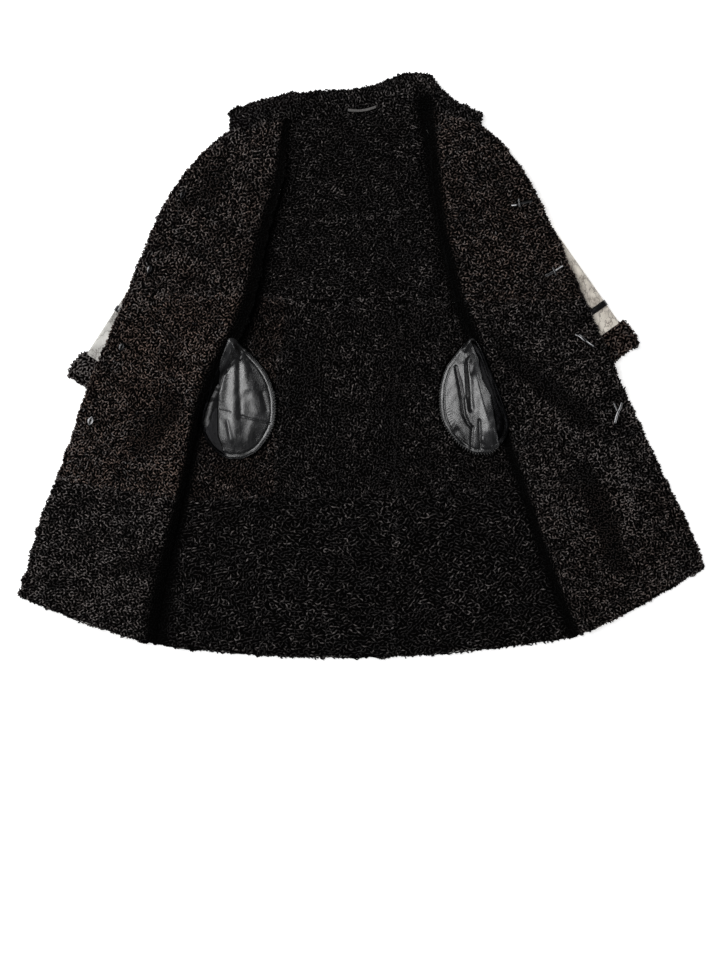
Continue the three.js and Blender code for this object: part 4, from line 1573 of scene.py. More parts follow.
SLEEVES = (
    Sleeve(
        side=Side.RIGHT,
        folds=(
            Fold((-0.452, 0.152), (-0.474, 0.118), 0.007, 0.0022),
            Fold((-0.468, 0.146), (-0.486, 0.104), 0.006, -0.0020),
            Fold((-0.478, 0.102), (-0.500, 0.086), 0.007, -0.0026),
            Fold((-0.492, 0.108), (-0.516, 0.072), 0.006, 0.0018),
            Fold((-0.486, 0.066), (-0.508, 0.034), 0.008, 0.0030),
            Fold((-0.500, 0.070), (-0.530, 0.046), 0.007, -0.0024),
            Fold((-0.520, 0.066), (-0.541, 0.034), 0.005, 0.0016),
            Fold((-0.420, 0.180), (-0.446, 0.160), 0.010, -0.0030),
            Fold((-0.390, 0.230), (-0.410, 0.170), 0.012, 0.0030),
            Fold((-0.360, 0.280), (-0.372, 0.236), 0.011, -0.0024),
        ),
    ),
    Sleeve(
        side=Side.LEFT,
        folds=(
            Fold((0.384, 0.270), (0.399, 0.236), 0.006, -0.0018),
            Fold((0.396, 0.258), (0.412, 0.214), 0.007, 0.0018),
            Fold((0.410, 0.204), (0.426, 0.176), 0.007, -0.0028),
            Fold((0.424, 0.200), (0.442, 0.176), 0.006, 0.0020),
            Fold((0.430, 0.172), (0.447, 0.152), 0.006, -0.0024),
            Fold((0.446, 0.172), (0.462, 0.136), 0.007, 0.0022),
            Fold((0.442, 0.140), (0.472, 0.119), 0.008, -0.0032),
            Fold((0.450, 0.119), (0.460, 0.106), 0.005, 0.0022),
            Fold((0.478, 0.100), (0.502, 0.068), 0.008, -0.0034),
            Fold((0.469, 0.091), (0.489, 0.069), 0.006, 0.0022),
            Fold((0.350, 0.300), (0.372, 0.262), 0.012, -0.0030),
            Fold((0.336, 0.250), (0.366, 0.190), 0.014, 0.0032),
        ),
    ),
)


@dataclass
class Trim:
    """A small trim that keeps its node's form, with softened edges."""

    node: str
    slot: str
    bevel: float = 0.0004
    segments: int = 2
    angle: float = 40.0

    def build(self, frame: Frame, material: bpy.types.Material) -> bpy.types.Object:
        """Builds the trim.

        Args:
            frame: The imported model.
            material: Its finish.

        Returns:
            The trim.
        """
        trim = clean_copy(frame.nodes[self.node], f"{self.node}_trim")
        apply_modifier(
            trim,
            "BEVEL",
            width=self.bevel,
            segments=self.segments,
            limit_method="ANGLE",
            angle_limit=math.radians(self.angle),
        )
        trim.data.materials.append(material)
        shade_smooth(trim, 50.0)
        frame.stand_in(trim, self.slot, self.node)
        return trim


# ------------------------------------------------------------------ tubes


def smooth_route(route: Sequence[Place], count: int, closed: bool = False) -> np.ndarray:
    """Points on a smooth curve through others.

    Args:
        route: The points that it passes.
        count: How many points to give.
        closed: Whether it closes on itself.

    Returns:
        The points, evenly spaced in the curve's own measure.
    """
    knots = np.array(route, float)
    total = len(knots)
    places = np.linspace(0.0, total if closed else total - 1, count, endpoint=not closed)
    row = np.minimum(places.astype(int), total - 1 if closed else total - 2)
    share = (places - row)[:, None]
    if closed:
        before, start, end, after = (knots[(row + k) % total] for k in (-1, 0, 1, 2))
    else:
        before, start, end, after = (knots[np.clip(row + k, 0, total - 1)] for k in (-1, 0, 1, 2))
    slope, slope_end = (end - before) / 2, (after - start) / 2
    bend = 2 * (start - end) + slope + slope_end
    lean = 3 * (end - start) - 2 * slope - slope_end
    return ((bend * share + lean) * share + slope) * share + start


def sweep(
    name: str,
    route: np.ndarray,
    half_width: float,
    half_thick: float,
    sides: int,
    closed: bool = False,
) -> bpy.types.Mesh:
    """Sweeps an oval section along a route.

    Args:
        name: The mesh's name.
        route: The points that the middle of the section passes.
        half_width: Half the section's width, level with the floor.
        half_thick: Half its thickness.
        sides: How many sides it has.
        closed: Whether the route closes on itself.

    Returns:
        The mesh, with round ends where it is open.
    """
    count = len(route)
    if closed:
        ahead = np.roll(route, -1, axis=0) - np.roll(route, 1, axis=0)
    else:
        ahead = np.gradient(route, axis=0)
    ahead /= np.linalg.norm(ahead, axis=1)[:, None]
    aside = np.cross(ahead, UP)
    aside /= np.linalg.norm(aside, axis=1)[:, None]
    above = np.cross(aside, ahead)
    angles = np.arange(sides) * 2 * math.pi / sides
    ring = (
        half_width * np.cos(angles)[None, :, None] * aside[:, None, :]
        + half_thick * np.sin(angles)[None, :, None] * above[:, None, :]
    )
    points = (route[:, None, :] + ring).reshape(-1, 3)
    quads, ends = [], []
    for i in range(count if closed else count - 1):
        near, far = i * sides, ((i + 1) % count) * sides
        for k in range(sides):
            after = (k + 1) % sides
            quads.append([near + k, far + k, far + after, near + after])
    rings = [np.array(quads)]
    if not closed:
        tip, tail = len(points), len(points) + 1
        caps = [route[0] - ahead[0] * half_thick, route[-1] + ahead[-1] * half_thick]
        points = np.concatenate([points, np.array(caps)])
        last = (count - 1) * sides
        for k in range(sides):
            after = (k + 1) % sides
            ends.append([tip, k, after])
            ends.append([tail, last + after, last + k])
        rings.append(np.array(ends))
    return mesh_from(name, points, rings)


def stitches(
    name: str, route: np.ndarray, pitch: float, reach: float, radius: float, arch: float, slant: float
) -> bpy.types.Mesh:
    """Short threads that cross a route, evenly spaced.

    Args:
        name: The mesh's name.
        route: The route.
        pitch: From one stitch to the next.
        reach: How far a stitch goes to each side.
        radius: The thread's radius.
        arch: How far a stitch's middle stands above its ends.
        slant: How far a stitch leans along the route.

    Returns:
        One mesh of all the stitches.
    """
    sides = 5
    walked = np.concatenate([[0.0], np.cumsum(np.linalg.norm(np.diff(route, axis=0), axis=1))])
    stops = np.arange(pitch, walked[-1] - pitch / 2, pitch)
    middles = np.stack([np.interp(stops, walked, route[:, axis]) for axis in range(3)], axis=1)
    ahead = np.gradient(middles, axis=0)
    ahead /= np.linalg.norm(ahead, axis=1)[:, None]
    aside = np.cross(ahead, UP)
    all_points, all_quads, all_ends = [], [], []
    for index, middle in enumerate(middles):
        across = aside[index] * reach + ahead[index] * slant
        thread = np.array([middle - across - UP * arch, middle, middle + across - UP * arch])
        part = sweep("thread", smooth_route(thread, 5), radius, radius, sides)
        points = points_of(part)
        base = index * len(points)
        corners = [[base + corner for corner in polygon.vertices] for polygon in part.polygons]
        bpy.data.meshes.remove(part)
        all_points.append(points)
        all_quads += [face for face in corners if len(face) == 4]
        all_ends += [face for face in corners if len(face) == 3]
    return mesh_from(name, np.concatenate(all_points), [np.array(all_quads), np.array(all_ends)])


# ------------------------------------------------------------------ pockets


def hull(points: np.ndarray) -> np.ndarray:
    """The convex outline of points in plan, counter-clockwise.

    Args:
        points: The points, n by 2 or more.

    Returns:
        The corners of the outline.
    """
    ordered = sorted({(round(float(x), 6), round(float(y), 6)) for x, y in points[:, :2]})
    halves = []
    for run in (ordered, ordered[::-1]):
        chain: list[Point] = []
        for p in run:
            while len(chain) > 1:
                (ax, ay), (bx, by) = chain[-2:]
                if (bx - ax) * (p[1] - ay) - (by - ay) * (p[0] - ax) > 1e-12:
                    break
                chain.pop()
            chain.append(p)
        halves.append(chain[:-1])
    return np.array(halves[0] + halves[1])


@dataclass(frozen=True)
class Wrinkle:
    """A ridge, or a trough where its height is below 0, along a line with a width at each knot."""

    knots: tuple[Place, ...]
    height: float
    power: float = 2.0

    def relief(self, points: np.ndarray) -> np.ndarray:
        """How much the wrinkle lifts each of some points."""
        return self.height * nearness(self.knots, points, self.power)


@dataclass(frozen=True)
class Tuck:
    """A fold that sinks towards a line, and comes back up behind it."""

    knots: tuple[Point, ...]
    depth: float
    before: float
    after: float

    def sunk(self, points: np.ndarray) -> np.ndarray:
        """How deep in the tuck each of some points is, 0 to 1.

        Args:
            points: The points, n by 2 or more.

        Returns:
            The depth of each.
        """
        nearest = np.full(len(points), np.inf)
        signed = np.zeros(len(points))
        line = np.array(self.knots)
        for start, end in zip(line[:-1], line[1:]):
            run, to = end - start, points[:, :2] - start
            share = np.clip(to @ run / (run @ run), 0.0, 1.0)
            off = np.linalg.norm(to - share[:, None] * run, axis=1)
            side = np.sign(run[0] * to[:, 1] - run[1] * to[:, 0])
            signed = np.where(off < nearest, side * off, signed)
            nearest = np.minimum(nearest, off)
        front = smoothstep(signed, -self.before, 0.0)
        return np.where(signed < 0.0, front, 1.0 - smoothstep(signed, 0.0, self.after))


@dataclass
class Pocket:
    """A leather pocket bag that lies on the back, bound along its edge and stitched."""

    side: Side
    wrinkles: tuple[Wrinkle, ...]
    tuck: Tuck
    whipped: tuple[float, float]
    # angles round the bag over which the binding is painted dark as shade
    shaded: tuple[float, float]
    tip: Place
    rings: int = 56
    spokes: int = 320
    lower_rings: int = 4
    sag: float = 0.00015
    gather: float = 0.00009
    binding_radius: float = 0.0016
    thread_radius: float = 0.0005
    stitch_pitch: float = 0.0056
    seam_inset: float = 0.0075

    PIPING_SIDES = 8
    PIPING_DULL = 0.65  # how dull the binding is outside its painted shade
    WHIP_REACH = 0.0026
    WHIP_ARCH = 0.0014
    WHIP_SLANT = 0.0008
    WALL_INSET = 0.0008
    THINNEST = 0.0012
    EASED = 12  # how often the upper wall's heights are evened out
    SEAM_WIDE = 0.0014
    SEAM_DEEP = 0.0007
    GATHERS = 84  # small gathers all round the edge

    def build(self, frame: Frame, wardrobe: Wardrobe) -> None:
        """Builds the bag, its binding and its stitches.

        Args:
            frame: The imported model.
            wardrobe: The finishes.
        """
        node = f"pocket_{self.side.value}"
        bag, rim = self._bag(frame.nodes[node], node)
        bag.data.materials.append(wardrobe.bag)
        binding_node = f"pocket_binding_{self.side.value}"
        radius, sides = self.binding_radius, self.PIPING_SIDES
        piping = sweep(f"{binding_node}_piping", rim, radius, radius * 0.9, sides, closed=True)
        binding = link(f"{binding_node}_piping", piping, wardrobe.leather)
        low, high = self.whipped
        turn = np.degrees(np.arctan2(*(rim - rim.mean(axis=0))[:, 1::-1].T)) % 360
        shade = (turn - self.shaded[0]) % 360 <= self.shaded[1] - self.shaded[0]
        # the binding is painted dark as shade over the shaded angles, and dulled elsewhere
        dull = np.repeat(np.where(shade, 1.0, self.PIPING_DULL), sides)
        keep_wear_and_painted_light(piping, np.zeros(len(dull)), dull)
        after = (turn - low) % 360
        order = np.argsort(after)
        kept = rim[order[after[order] <= high - low]]
        whips = stitches(
            f"{node}_whips",
            kept + UP * radius,
            self.stitch_pitch,
            self.WHIP_REACH,
            self.thread_radius,
            self.WHIP_ARCH,
            self.WHIP_SLANT,
        )
        threads = link(f"{node}_whips", whips, wardrobe.thread)
        frame.stand_in(bag, "leather", node)
        frame.stand_in(binding, "leather", binding_node)
        frame.stand_in(threads, "leather")
        declare_sheet(bag, node, with_pieces=[binding, threads])

    def _bag(self, node: bpy.types.Object, name: str) -> tuple[bpy.types.Object, np.ndarray]:
        """The bag's two walls, and the line along its edge.

        Args:
            node: The bag's node.
            name: The piece's name.

        Returns:
            The bag and the edge's points.
        """
        tree = tree_of([node])
        outline = hull(np.concatenate([points_of(node.data), [self.tip]]))
        centre = (outline.min(axis=0) + outline.max(axis=0)) / 2
        angles = np.arange(self.spokes) * 2 * math.pi / self.spokes
        reach = np.array([self._reach(outline, centre, angle) for angle in angles])
        reach = (reach + 0.5 * (np.roll(reach, 1) + np.roll(reach, -1))) / 2
        ways = np.stack([np.cos(angles), np.sin(angles)], axis=1)
        upper = self._wall(tree, centre, ways, reach, self.rings, True)
        lower = self._wall(tree, centre, ways, reach, self.lower_rings, False)
        count = self.spokes
        outward = 1 - np.arange(1, self.rings + 1) / self.rings
        inset = np.concatenate([[1.0], (outward[:, None] * reach).ravel()])
        lift, wear_and_painted_light, depth = self._shape(upper, inset, centre)
        upper[:, 2] = np.maximum(upper[:, 2] + lift, lower[0, 2] + self.THINNEST)
        points = np.concatenate([upper, lower])
        faces_up = self._fan(0, self.rings)
        faces_down = [[f[0], *f[:0:-1]] for f in self._fan(len(upper), self.lower_rings)]
        edge_up = 1 + (self.rings - 1) * count
        edge_down = len(upper) + 1 + (self.lower_rings - 1) * count
        sides = [
            [edge_up + k, edge_down + k, edge_down + (k + 1) % count, edge_up + (k + 1) % count]
            for k in range(count)
        ]
        faces = faces_up + faces_down + sides
        quads = np.array([f for f in faces if len(f) == 4])
        tips = np.array([f for f in faces if len(f) == 3])
        mesh = mesh_from(f"{name}_bag", points, [quads, tips])
        below = np.zeros(len(lower))
        keep_wear_and_painted_light(mesh, np.concatenate([wear_and_painted_light, below]), np.concatenate([depth, below]))
        rim = (points[edge_up : edge_up + count] + points[edge_down : edge_down + count]) / 2
        rim = rim + np.pad(ways, ((0, 0), (0, 1))) * self.binding_radius * 0.6
        rim[:, 2] = np.maximum(rim[:, 2], self.binding_radius + FLOOR_CLEAR)
        for _ in range(3):
            rim = (np.roll(rim, 1, axis=0) + 2 * rim + np.roll(rim, -1, axis=0)) / 4
        return link(f"{name}_bag", mesh), rim

    def _reach(self, outline: np.ndarray, centre: np.ndarray, angle: float) -> float:
        """How far the outline is from the centre at an angle.

        Args:
            outline: The corners of the outline.
            centre: The point to measure from.
            angle: The way to measure, in radians.

        Returns:
            The distance.
        """
        way = np.array([math.cos(angle), math.sin(angle)])
        best = 0.0
        for start, end in zip(outline, np.roll(outline, -1, axis=0)):
            run, to = end - start, start - centre
            cross = way[0] * run[1] - way[1] * run[0]
            if abs(cross) > 1e-12:
                along = (to[0] * run[1] - to[1] * run[0]) / cross
                share = (to[0] * way[1] - to[1] * way[0]) / cross
                if -1e-6 <= share <= 1 + 1e-6:
                    best = max(best, along)
        return best

    def _wall(
        self, tree: BVHTree, centre: np.ndarray, ways: np.ndarray, reach: np.ndarray, rings: int, top: bool
    ) -> np.ndarray:
        """One wall's points, on the node: its centre, and rings out to the edge.

        Args:
            tree: The bag's node, for rays.
            centre: The middle of the bag in plan.
            ways: The ways out from it.
            reach: How far the edge is each way.
            rings: How many rings of points to make.
            top: Whether it is the upper wall.

        Returns:
            The points.
        """
        rows = [centre[None]]
        for ring in range(1, rings + 1):
            rows.append(centre + ways * ((reach - self.WALL_INSET) * ring / rings)[:, None])
        plan = np.concatenate(rows)
        start_z, way = (1.0, -1.0) if top else (-1.0, 1.0)
        heights = []
        for x, y in plan:
            hit = tree.ray_cast(Vector((x, y, start_z)), Vector((0.0, 0.0, way)))
            heights.append(math.nan if hit[0] is None else hit[0].z)
        grid = np.array(heights[1:]).reshape(rings, -1)
        for ring in range(1, rings):
            grid[ring] = np.where(np.isnan(grid[ring]), grid[ring - 1], grid[ring])
        for _ in range(self.EASED if top else 1):
            inner = np.concatenate([grid[:1], grid[:-1]])
            outer = np.concatenate([grid[1:], grid[-1:]])
            grid = (inner + outer + np.roll(grid, 1, axis=1) + np.roll(grid, -1, axis=1) + 2 * grid) / 6
        return np.column_stack([plan, np.concatenate([[grid[0].mean()], grid.ravel()])])

    def _shape(
        self, points: np.ndarray, inset: np.ndarray, centre: np.ndarray
    ) -> tuple[np.ndarray, np.ndarray, np.ndarray]:
        """How far the folds, the gathers, the seam and small waves lift the upper wall.

        Args:
            points: The upper wall's points.
            inset: How far each is from the bag's edge.
            centre: The bag's middle in plan.

        Returns:
            The lift of each point, how scuffed it is with painted highlights on the ridges, and how deep in
            a fold it is for painted shade, both 0 to 1.
        """
        fade = smoothstep(inset, 0.001, 0.007)
        x, y = points[:, 0], points[:, 1]
        wave = np.sin(x * 160 + 2.5 * np.sin(y * 60)) * np.sin(y * 95 + 1.7 * np.sin(x * 90))
        folded = sum((wrinkle.relief(points) for wrinkle in self.wrinkles), np.zeros(len(points)))
        sunk = self.tuck.sunk(points)
        seam = np.exp(-(((inset - self.seam_inset) / self.SEAM_WIDE) ** 2))
        turn = np.degrees(np.arctan2(y - centre[1], x - centre[0]))
        low, high = self.whipped
        near = smoothstep(inset, 0.007, 0.010) * (1.0 - smoothstep(inset, 0.014, 0.026))
        near = near * ((turn - low) % 360 <= high - low)
        gathers = near * np.sin(np.radians(turn) * self.GATHERS + 3.0 * wave) * self.gather
        # scuffing, with a painted highlight along the wrinkles' ridges, darker along the seam's groove
        wear_and_painted_light = 0.3 + folded / 0.0035 + 0.1 * wave - 0.3 * seam
        raised = folded + self.sag * wave - self.tuck.depth * sunk
        lift = fade * raised + gathers - self.SEAM_DEEP * seam
        # the depth paints the tuck's fold dark and dull as shade
        return lift, np.clip(wear_and_painted_light, 0.0, 1.0), 0.95 * smoothstep(sunk, 0.1, 0.7)

    def _fan(self, base: int, rings: int) -> list[list[int]]:
        """The faces of a wall, from its centre out.

        Args:
            base: The number of the wall's first point.
            rings: How many rings of points it has.

        Returns:
            The corners of each face.
        """
        count = self.spokes
        faces: list[list[int]] = [[base, base + 1 + k, base + 1 + (k + 1) % count] for k in range(count)]
        for ring in range(rings - 1):
            near, far = base + 1 + ring * count, base + 1 + (ring + 1) * count
            for k in range(count):
                after = (k + 1) % count
                faces.append([near + k, far + k, far + after, near + after])
        return faces


POCKETS = (
    Pocket(
        side=Side.RIGHT,
        whipped=(300.0, 380.0),
        shaded=(100.0, 250.0),
        tip=(-0.2594, 0.0525, 0.0),
        tuck=Tuck(
            (
                (-0.2830, -0.0150),
                (-0.2860, -0.0383),
                (-0.2880, -0.0863),
                (-0.2870, -0.1423),
                (-0.2770, -0.1660),
            ),
            0.0048,
            0.080,
            0.0028,
        ),
        wrinkles=(
            Wrinkle(
                (
                    (-0.2590, 0.049, 0.009),
                    (-0.2560, 0.026, 0.015),
                    (-0.2590, -0.020, 0.019),
                    (-0.2600, -0.090, 0.021),
                    (-0.2570, -0.146, 0.020),
                ),
                0.0030,
            ),
            Wrinkle(((-0.2440, 0.01, 0.0050), (-0.2440, -0.05, 0.0060), (-0.2410, -0.104, 0.006)), -0.0008),
            Wrinkle(((-0.2320, 0.000, 0.006), (-0.2270, -0.046, 0.009)), 0.0010),
            Wrinkle(((-0.2160, -0.050, 0.013), (-0.2050, -0.092, 0.014)), 0.0010),
            Wrinkle(((-0.2180, -0.118, 0.010), (-0.2260, -0.150, 0.010)), 0.0009),
            Wrinkle(((-0.2870, -0.0900, 0.0018), (-0.2610, -0.0960, 0.0018)), -0.0007),
            Wrinkle(((-0.2410, -0.1030, 0.0018), (-0.1810, -0.1180, 0.0018)), -0.0008),
            Wrinkle(((-0.2590, 0.0440, 0.0022), (-0.2440, 0.0120, 0.0022)), 0.0016),
            Wrinkle(((-0.2680, -0.112, 0.003), (-0.2600, -0.152, 0.004)), 0.0009),
            Wrinkle(((-0.1980, -0.058, 0.005), (-0.1900, -0.090, 0.006)), -0.0009),
        ),
    ),
    Pocket(
        side=Side.LEFT,
        whipped=(150.0, 300.0),
        shaded=(320.0, 440.0),
        tip=(0.2174, 0.0497, 0.0),
        tuck=Tuck(
            (
                (0.2200, 0.0460),
                (0.2330, 0.0157),
                (0.2430, -0.0300),
                (0.2590, -0.0620),
                (0.2660, -0.1000),
                (0.2700, -0.1250),
                (0.2760, -0.1600),
            ),
            0.0032,
            0.005,
            0.200,
        ),
        wrinkles=(
            Wrinkle(
                (
                    (0.2260, 0.020, 0.009),
                    (0.2420, -0.030, 0.016),
                    (0.2560, -0.066, 0.020),
                    (0.2620, -0.130, 0.022),
                ),
                0.0046,
            ),
            Wrinkle(
                (
                    (0.1880, -0.004, 0.0026),
                    (0.1955, -0.038, 0.0034),
                    (0.2015, -0.070, 0.0038),
                    (0.2050, -0.100, 0.0040),
                    (0.2130, -0.118, 0.0034),
                    (0.2210, -0.127, 0.0026),
                ),
                -0.0024,
            ),
            Wrinkle(((0.2130, 0.022, 0.004), (0.2150, -0.024, 0.006), (0.2190, -0.088, 0.007)), -0.0020),
            Wrinkle(((0.2040, 0.000, 0.004), (0.2080, -0.060, 0.006)), 0.0010),
            Wrinkle(((0.2210, -0.127, 0.003), (0.2190, -0.166, 0.003)), -0.0012),
            Wrinkle(((0.2350, -0.112, 0.003), (0.2370, -0.166, 0.003)), -0.0012),
            Wrinkle(((0.1920, -0.134, 0.008), (0.2040, -0.156, 0.008)), -0.0014),
            Wrinkle(((0.2420, -0.150, 0.0035), (0.2580, -0.165, 0.0035)), 0.0010),
        ),
    ),
)


# ------------------------------------------------------------------ closures


@dataclass
class Thong:
    """A flat leather thong that comes up through the left front, and its short other end."""

    name: str
    route: tuple[Place, ...]
    tie: Place
    tie_turn: float
    # stretches of painted highlight along the lace
    painted_highlight_and_wear: tuple[Stretch, ...]
    # how bright the painted highlight along the short end is
    tie_highlight: float = 0.15

    WIDTH = 0.005
    THICK = 0.0018
    POINTS = 21
    SIDES = 12
    TIE_LONG = 0.018
    TIE_WIDE = 0.0045
    TIE_POINTS = 9
    TIE_SIDES = 10
    TIE_DROOP = 0.0012
    HIGHLIGHT_FADE = 0.04  # of the length, at each end of a stretch of painted highlight
    HIGHLIGHT_REACH = 20.0  # degrees round the lace

    def build(self, frame: Frame, wardrobe: Wardrobe) -> None:
        """Args:
            frame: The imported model.
            wardrobe: The finishes.
        """
        end = self._end(wardrobe)
        route = smooth_route(self.route, self.POINTS)
        mesh = sweep(f"thong_{self.name}_lace", route, self.WIDTH / 2, self.THICK / 2, self.SIDES)
        lace = link(f"thong_{self.name}_lace", mesh, wardrobe.lace)
        self._paint_highlight(mesh, len(route), self.SIDES, self.painted_highlight_and_wear)
        frame.stand_in(lace, "leather", f"thong_{self.name}")
        frame.stand_in(end, "leather", f"thong_end_{self.name}")

    def _end(self, wardrobe: Wardrobe) -> bpy.types.Object:
        """The short end, which arches over the thong.

        Args:
            wardrobe: The finishes.

        Returns:
            The short end.
        """
        turn = math.radians(self.tie_turn)
        way = np.array([math.cos(turn), math.sin(turn), 0.0])
        shares = np.linspace(-0.5, 0.5, self.TIE_POINTS)
        droop = self.TIE_DROOP * (2 * np.abs(shares)) ** 2
        route = np.array(self.tie) + shares[:, None] * self.TIE_LONG * way - droop[:, None] * UP
        mesh = sweep(f"thong_end_{self.name}_lace", route, self.TIE_WIDE / 2, self.THICK / 2, self.TIE_SIDES)
        self._paint_highlight(mesh, len(route), self.TIE_SIDES, ((0.05, 0.95, 90.0, self.tie_highlight),))
        return link(f"thong_end_{self.name}_lace", mesh, wardrobe.lace)

    def _paint_highlight(self, mesh: bpy.types.Mesh, rings: int, sides: int, stretches: tuple[Stretch, ...]) -> None:
        """Paints highlights along stretches of a lace.

        Args:
            mesh: The lace, as swept.
            rings: How many rings of points it has.
            sides: How many points a ring has.
            stretches: Where each starts and ends, 0 to 1, its angle round the lace and its strength.
        """
        angles = np.degrees(np.arange(sides) * 2 * math.pi / sides)
        along = np.linspace(0.0, 1.0, rings)
        wear_and_painted_light = np.zeros((rings, sides))
        for low, high, angle, strength in stretches:
            off = np.abs((angles - angle + 180.0) % 360.0 - 180.0)
            strip = smoothstep(along, low - self.HIGHLIGHT_FADE, low + self.HIGHLIGHT_FADE)
            strip *= 1.0 - smoothstep(along, high - self.HIGHLIGHT_FADE, high + self.HIGHLIGHT_FADE)
            band = np.exp(-((off / self.HIGHLIGHT_REACH) ** 2))
            wear_and_painted_light = np.maximum(wear_and_painted_light, strength * strip[:, None] * band[None])
        keep_wear_and_painted_light(mesh, np.append(wear_and_painted_light.ravel(), [0.0, 0.0]), np.zeros(wear_and_painted_light.size + 2))


THONGS = (
    Thong(
        name="top",
        route=(
            (0.298, 0.315, 0.0374),
            (0.308, 0.316, 0.0374),
            (0.317, 0.319, 0.0374),
            (0.328, 0.322, 0.0374),
            (0.339, 0.324, 0.0374),
        ),
        tie=(0.313, 0.320, 0.0396),
        tie_turn=96.0,
        painted_highlight_and_wear=((0.0, 0.22, 90.0, 1.0), (0.55, 1.0, 30.0, 0.12)),
    ),
    Thong(
        name="chest",
        route=(
            (0.366, 0.175, 0.0374),
            (0.374, 0.179, 0.0374),
            (0.383, 0.184, 0.0374),
            (0.392, 0.190, 0.0374),
            (0.400, 0.195, 0.0374),
        ),
        tie=(0.383, 0.184, 0.0396),
        tie_turn=110.0,
        painted_highlight_and_wear=((0.52, 1.0, 100.0, 1.0), (0.0, 0.5, 30.0, 0.3), (0.0, 0.5, 150.0, 0.2)),
    ),
    Thong(
        name="waist",
        route=(
            (0.425, 0.059, 0.0388),
            (0.434, 0.055, 0.0388),
            (0.443, 0.047, 0.0388),
            (0.451, 0.041, 0.0388),
            (0.461, 0.034, 0.0388),
        ),
        tie=(0.439, 0.053, 0.0410),
        tie_turn=-42.0,
        painted_highlight_and_wear=((0.0, 0.5, 60.0, 1.0), (0.55, 1.0, 120.0, 0.8)),
    ),
    Thong(
        name="hip",
        route=(
            (0.519, -0.076, 0.0220),
            (0.516, -0.086, 0.0193),
            (0.511, -0.096, 0.0176),
            (0.508, -0.105, 0.0173),
            (0.505, -0.117, 0.0171),
        ),
        tie=(0.506, -0.085, 0.0220),
        tie_turn=111.0,
        painted_highlight_and_wear=((0.0, 1.0, 60.0, 0.7), (0.0, 1.0, 150.0, 0.7)),
        tie_highlight=0.8,
    ),
)


@dataclass
class Buttonhole:
    """An almond of leather with a slit between two lips, with a painted highlight along their outer edges.
    """

    place: str
    shine: tuple[float, float]
    least: float = 0.0
    turn: float = 70.0
    lip: float = 0.0052
    shine_wide: float = 0.0018
    shine_long: float = 0.008

    def build(self, frame: Frame, wardrobe: Wardrobe) -> None:
        """Builds the buttonhole, with its left and its right lip as bright as "shine" says.

        Args:
            frame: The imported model.
            wardrobe: The finishes.
        """
        node = f"buttonhole_{self.place}"
        patch = Trim(node, "leather", bevel=0.0007).build(frame, wardrobe.lace)
        low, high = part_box(node)
        points = points_of(patch.data)[:, :2] - [(low.x + high.x) / 2, (low.y + high.y) / 2]
        angle = math.radians(self.turn)
        along = points @ [math.cos(angle), math.sin(angle)]
        across = points @ [math.sin(angle), -math.cos(angle)]
        # a painted highlight along the lips' outer edges; the rest of the patch is painted dark and dull
        strength = np.where(across < 0.0, self.shine[0], self.shine[1])
        band = np.exp(-(((np.abs(across) - self.lip) / self.shine_wide) ** 2))
        band = band * np.exp(-((along / self.shine_long) ** 2))
        painted_highlight_and_wear = strength * np.maximum(band, self.least)
        keep_wear_and_painted_light(patch.data, painted_highlight_and_wear, 1.0 - np.clip(1.6 * painted_highlight_and_wear, 0.0, 1.0))


BUTTONHOLES = (
    Buttonhole("top", (0.12, 0.06)),
    Buttonhole("chest", (0.48, 0.06)),
    Buttonhole("waist", (0.38, 0.20)),
    Buttonhole("hip", (0.80, 0.95), least=0.3),
)


# ------------------------------------------------------------------ the studio


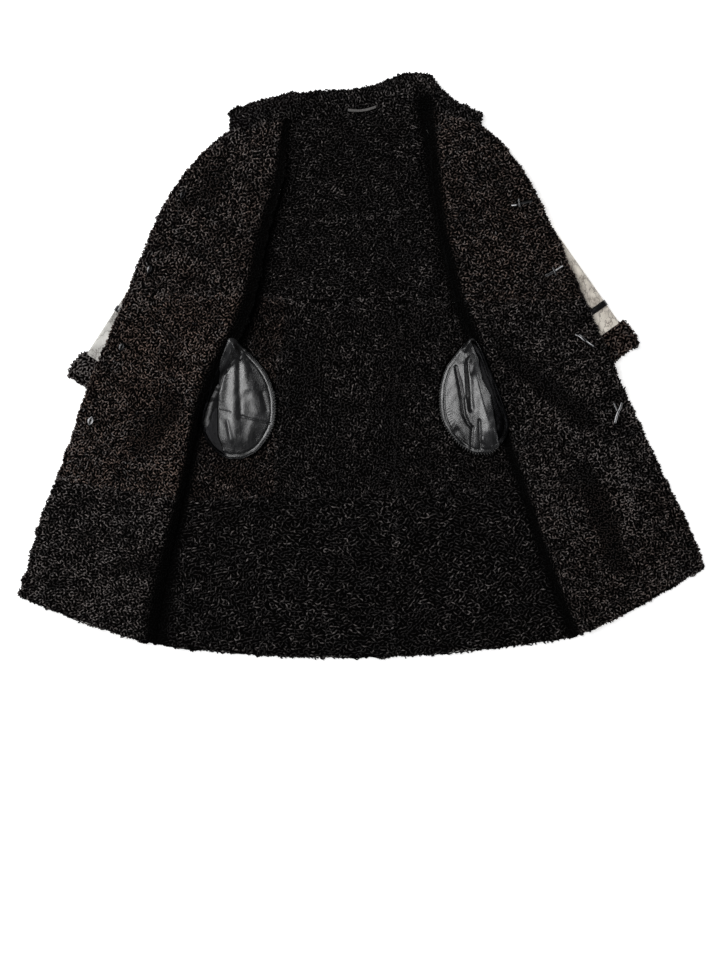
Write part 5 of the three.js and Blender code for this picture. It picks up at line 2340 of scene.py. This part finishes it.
@dataclass
class Studio:
    """A pale floor, soft light, and a camera straight above the coat."""

    centre: Point = (-0.003, -0.2303)
    view_height: float = 1.92
    lens: float = 100.0
    sensor: float = 36.0
    floor_size: float = 14.0
    floor_drop: float = 0.0004
    aim: Place = (0.0, -0.05, 0.0)

    def build(self) -> None:
        """Sets up the whole studio."""
        self._camera()
        self._floor()
        self._lights()

    def _camera(self) -> None:
        """A long lens that looks straight down."""
        camera = bpy.data.objects.new("camera", bpy.data.cameras.new("camera"))
        camera.data.lens = self.lens
        camera.data.sensor_width = self.sensor
        camera.data.clip_end = 60.0
        camera.location = (*self.centre, self.view_height * self.lens / self.sensor)
        bpy.context.scene.collection.objects.link(camera)
        bpy.context.scene.camera = camera

    def _floor(self) -> None:
        """A plain near-white floor, a hair below the coat."""
        bpy.ops.mesh.primitive_plane_add(size=self.floor_size, location=(0.0, 0.0, -self.floor_drop))
        floor = bpy.context.active_object
        floor.name = "floor"
        graph = Graph("pale_floor")
        speck = graph.noise(graph.place(), 3.0)
        tone = graph.blend(speck.step(0.3, 0.7), grey(0.86), grey(0.88))
        floor.data.materials.append(
            graph.finish(
                base_color=tone,
                roughness=0.95,
                specular_ior_level=0.1,
                emission_color=grey(1.0),
                emission_strength=0.5,
            )
        )

    def _lights(self) -> None:
        """Soft lights from overhead, the upper left, low at the left and the right, and a dim sky."""
        self._softbox("overhead", (-1.6, 0.5, 7.0), 2.2, 190.0)
        self._softbox("key", (-1.7, 1.5, 2.1), 1.3, 52.0)
        self._softbox("rim", (-2.6, -0.5, 0.9), 1.0, 18.0)
        self._softbox("fill", (2.4, -0.6, 1.6), 1.2, 17.0)
        world = bpy.data.worlds.new("sky")
        bpy.context.scene.world = world
        world.use_nodes = True
        sky = world.node_tree.nodes["Background"].inputs
        sky["Color"].default_value = (0.95, 0.97, 1.0, 1.0)
        sky["Strength"].default_value = 0.10
        bpy.context.scene.view_settings.view_transform = "Standard"

    def _softbox(self, name: str, place: Place, size: float, power: float) -> None:
        """A square soft light that points at the middle of the coat.

        Args:
            name: The light's name.
            place: Where it stands.
            size: How wide and long it is.
            power: Its power in watts.
        """
        light = bpy.data.objects.new(name, bpy.data.lights.new(name, "AREA"))
        light.data.size = size
        light.data.energy = power
        light.location = place
        light.rotation_euler = (Vector(self.aim) - Vector(place)).to_track_quat("-Z", "Y").to_euler()
        bpy.context.scene.collection.objects.link(light)


def main() -> None:
    """Builds the studio and the coat, and reports each piece."""
    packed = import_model()
    bpy.ops.object.select_all(action="DESELECT")
    Studio().build()
    frame = Frame(packed["nodes"])
    wardrobe = Wardrobe.make()

    for thong in THONGS:
        thong.build(frame, wardrobe)
        LOG.info("thong_%s", thong.name)
    total = 0
    pelts = [*Back().pelts(), *RIGHT_FRONT.pelts(), *LEFT_FRONT.pelts(), collar_pelt(), *cuff_pelts()]
    for pelt in pelts:
        count = pelt.build(frame, wardrobe)
        total += count
        LOG.info("%s: %d locks", pelt.node, count)
    LOG.info("%d locks in all", total)
    for sleeve in SLEEVES:
        sleeve.build(frame, wardrobe)
        LOG.info("sleeve_%s", sleeve.side.value)
    for pocket in POCKETS:
        pocket.build(frame, wardrobe)
        LOG.info("pocket_%s", pocket.side.value)
    for side in Side:
        Trim(f"strap_{side.value}", "leather").build(frame, wardrobe.leather)
    for buttonhole in BUTTONHOLES:
        buttonhole.build(frame, wardrobe)
        Trim(f"button_{buttonhole.place}", "horn", bevel=0.0008, segments=3).build(frame, wardrobe.horn)
    Trim("hanger_loop", "tape", bevel=0.0005).build(frame, wardrobe.tape)


if __name__ == "__main__":
    main()
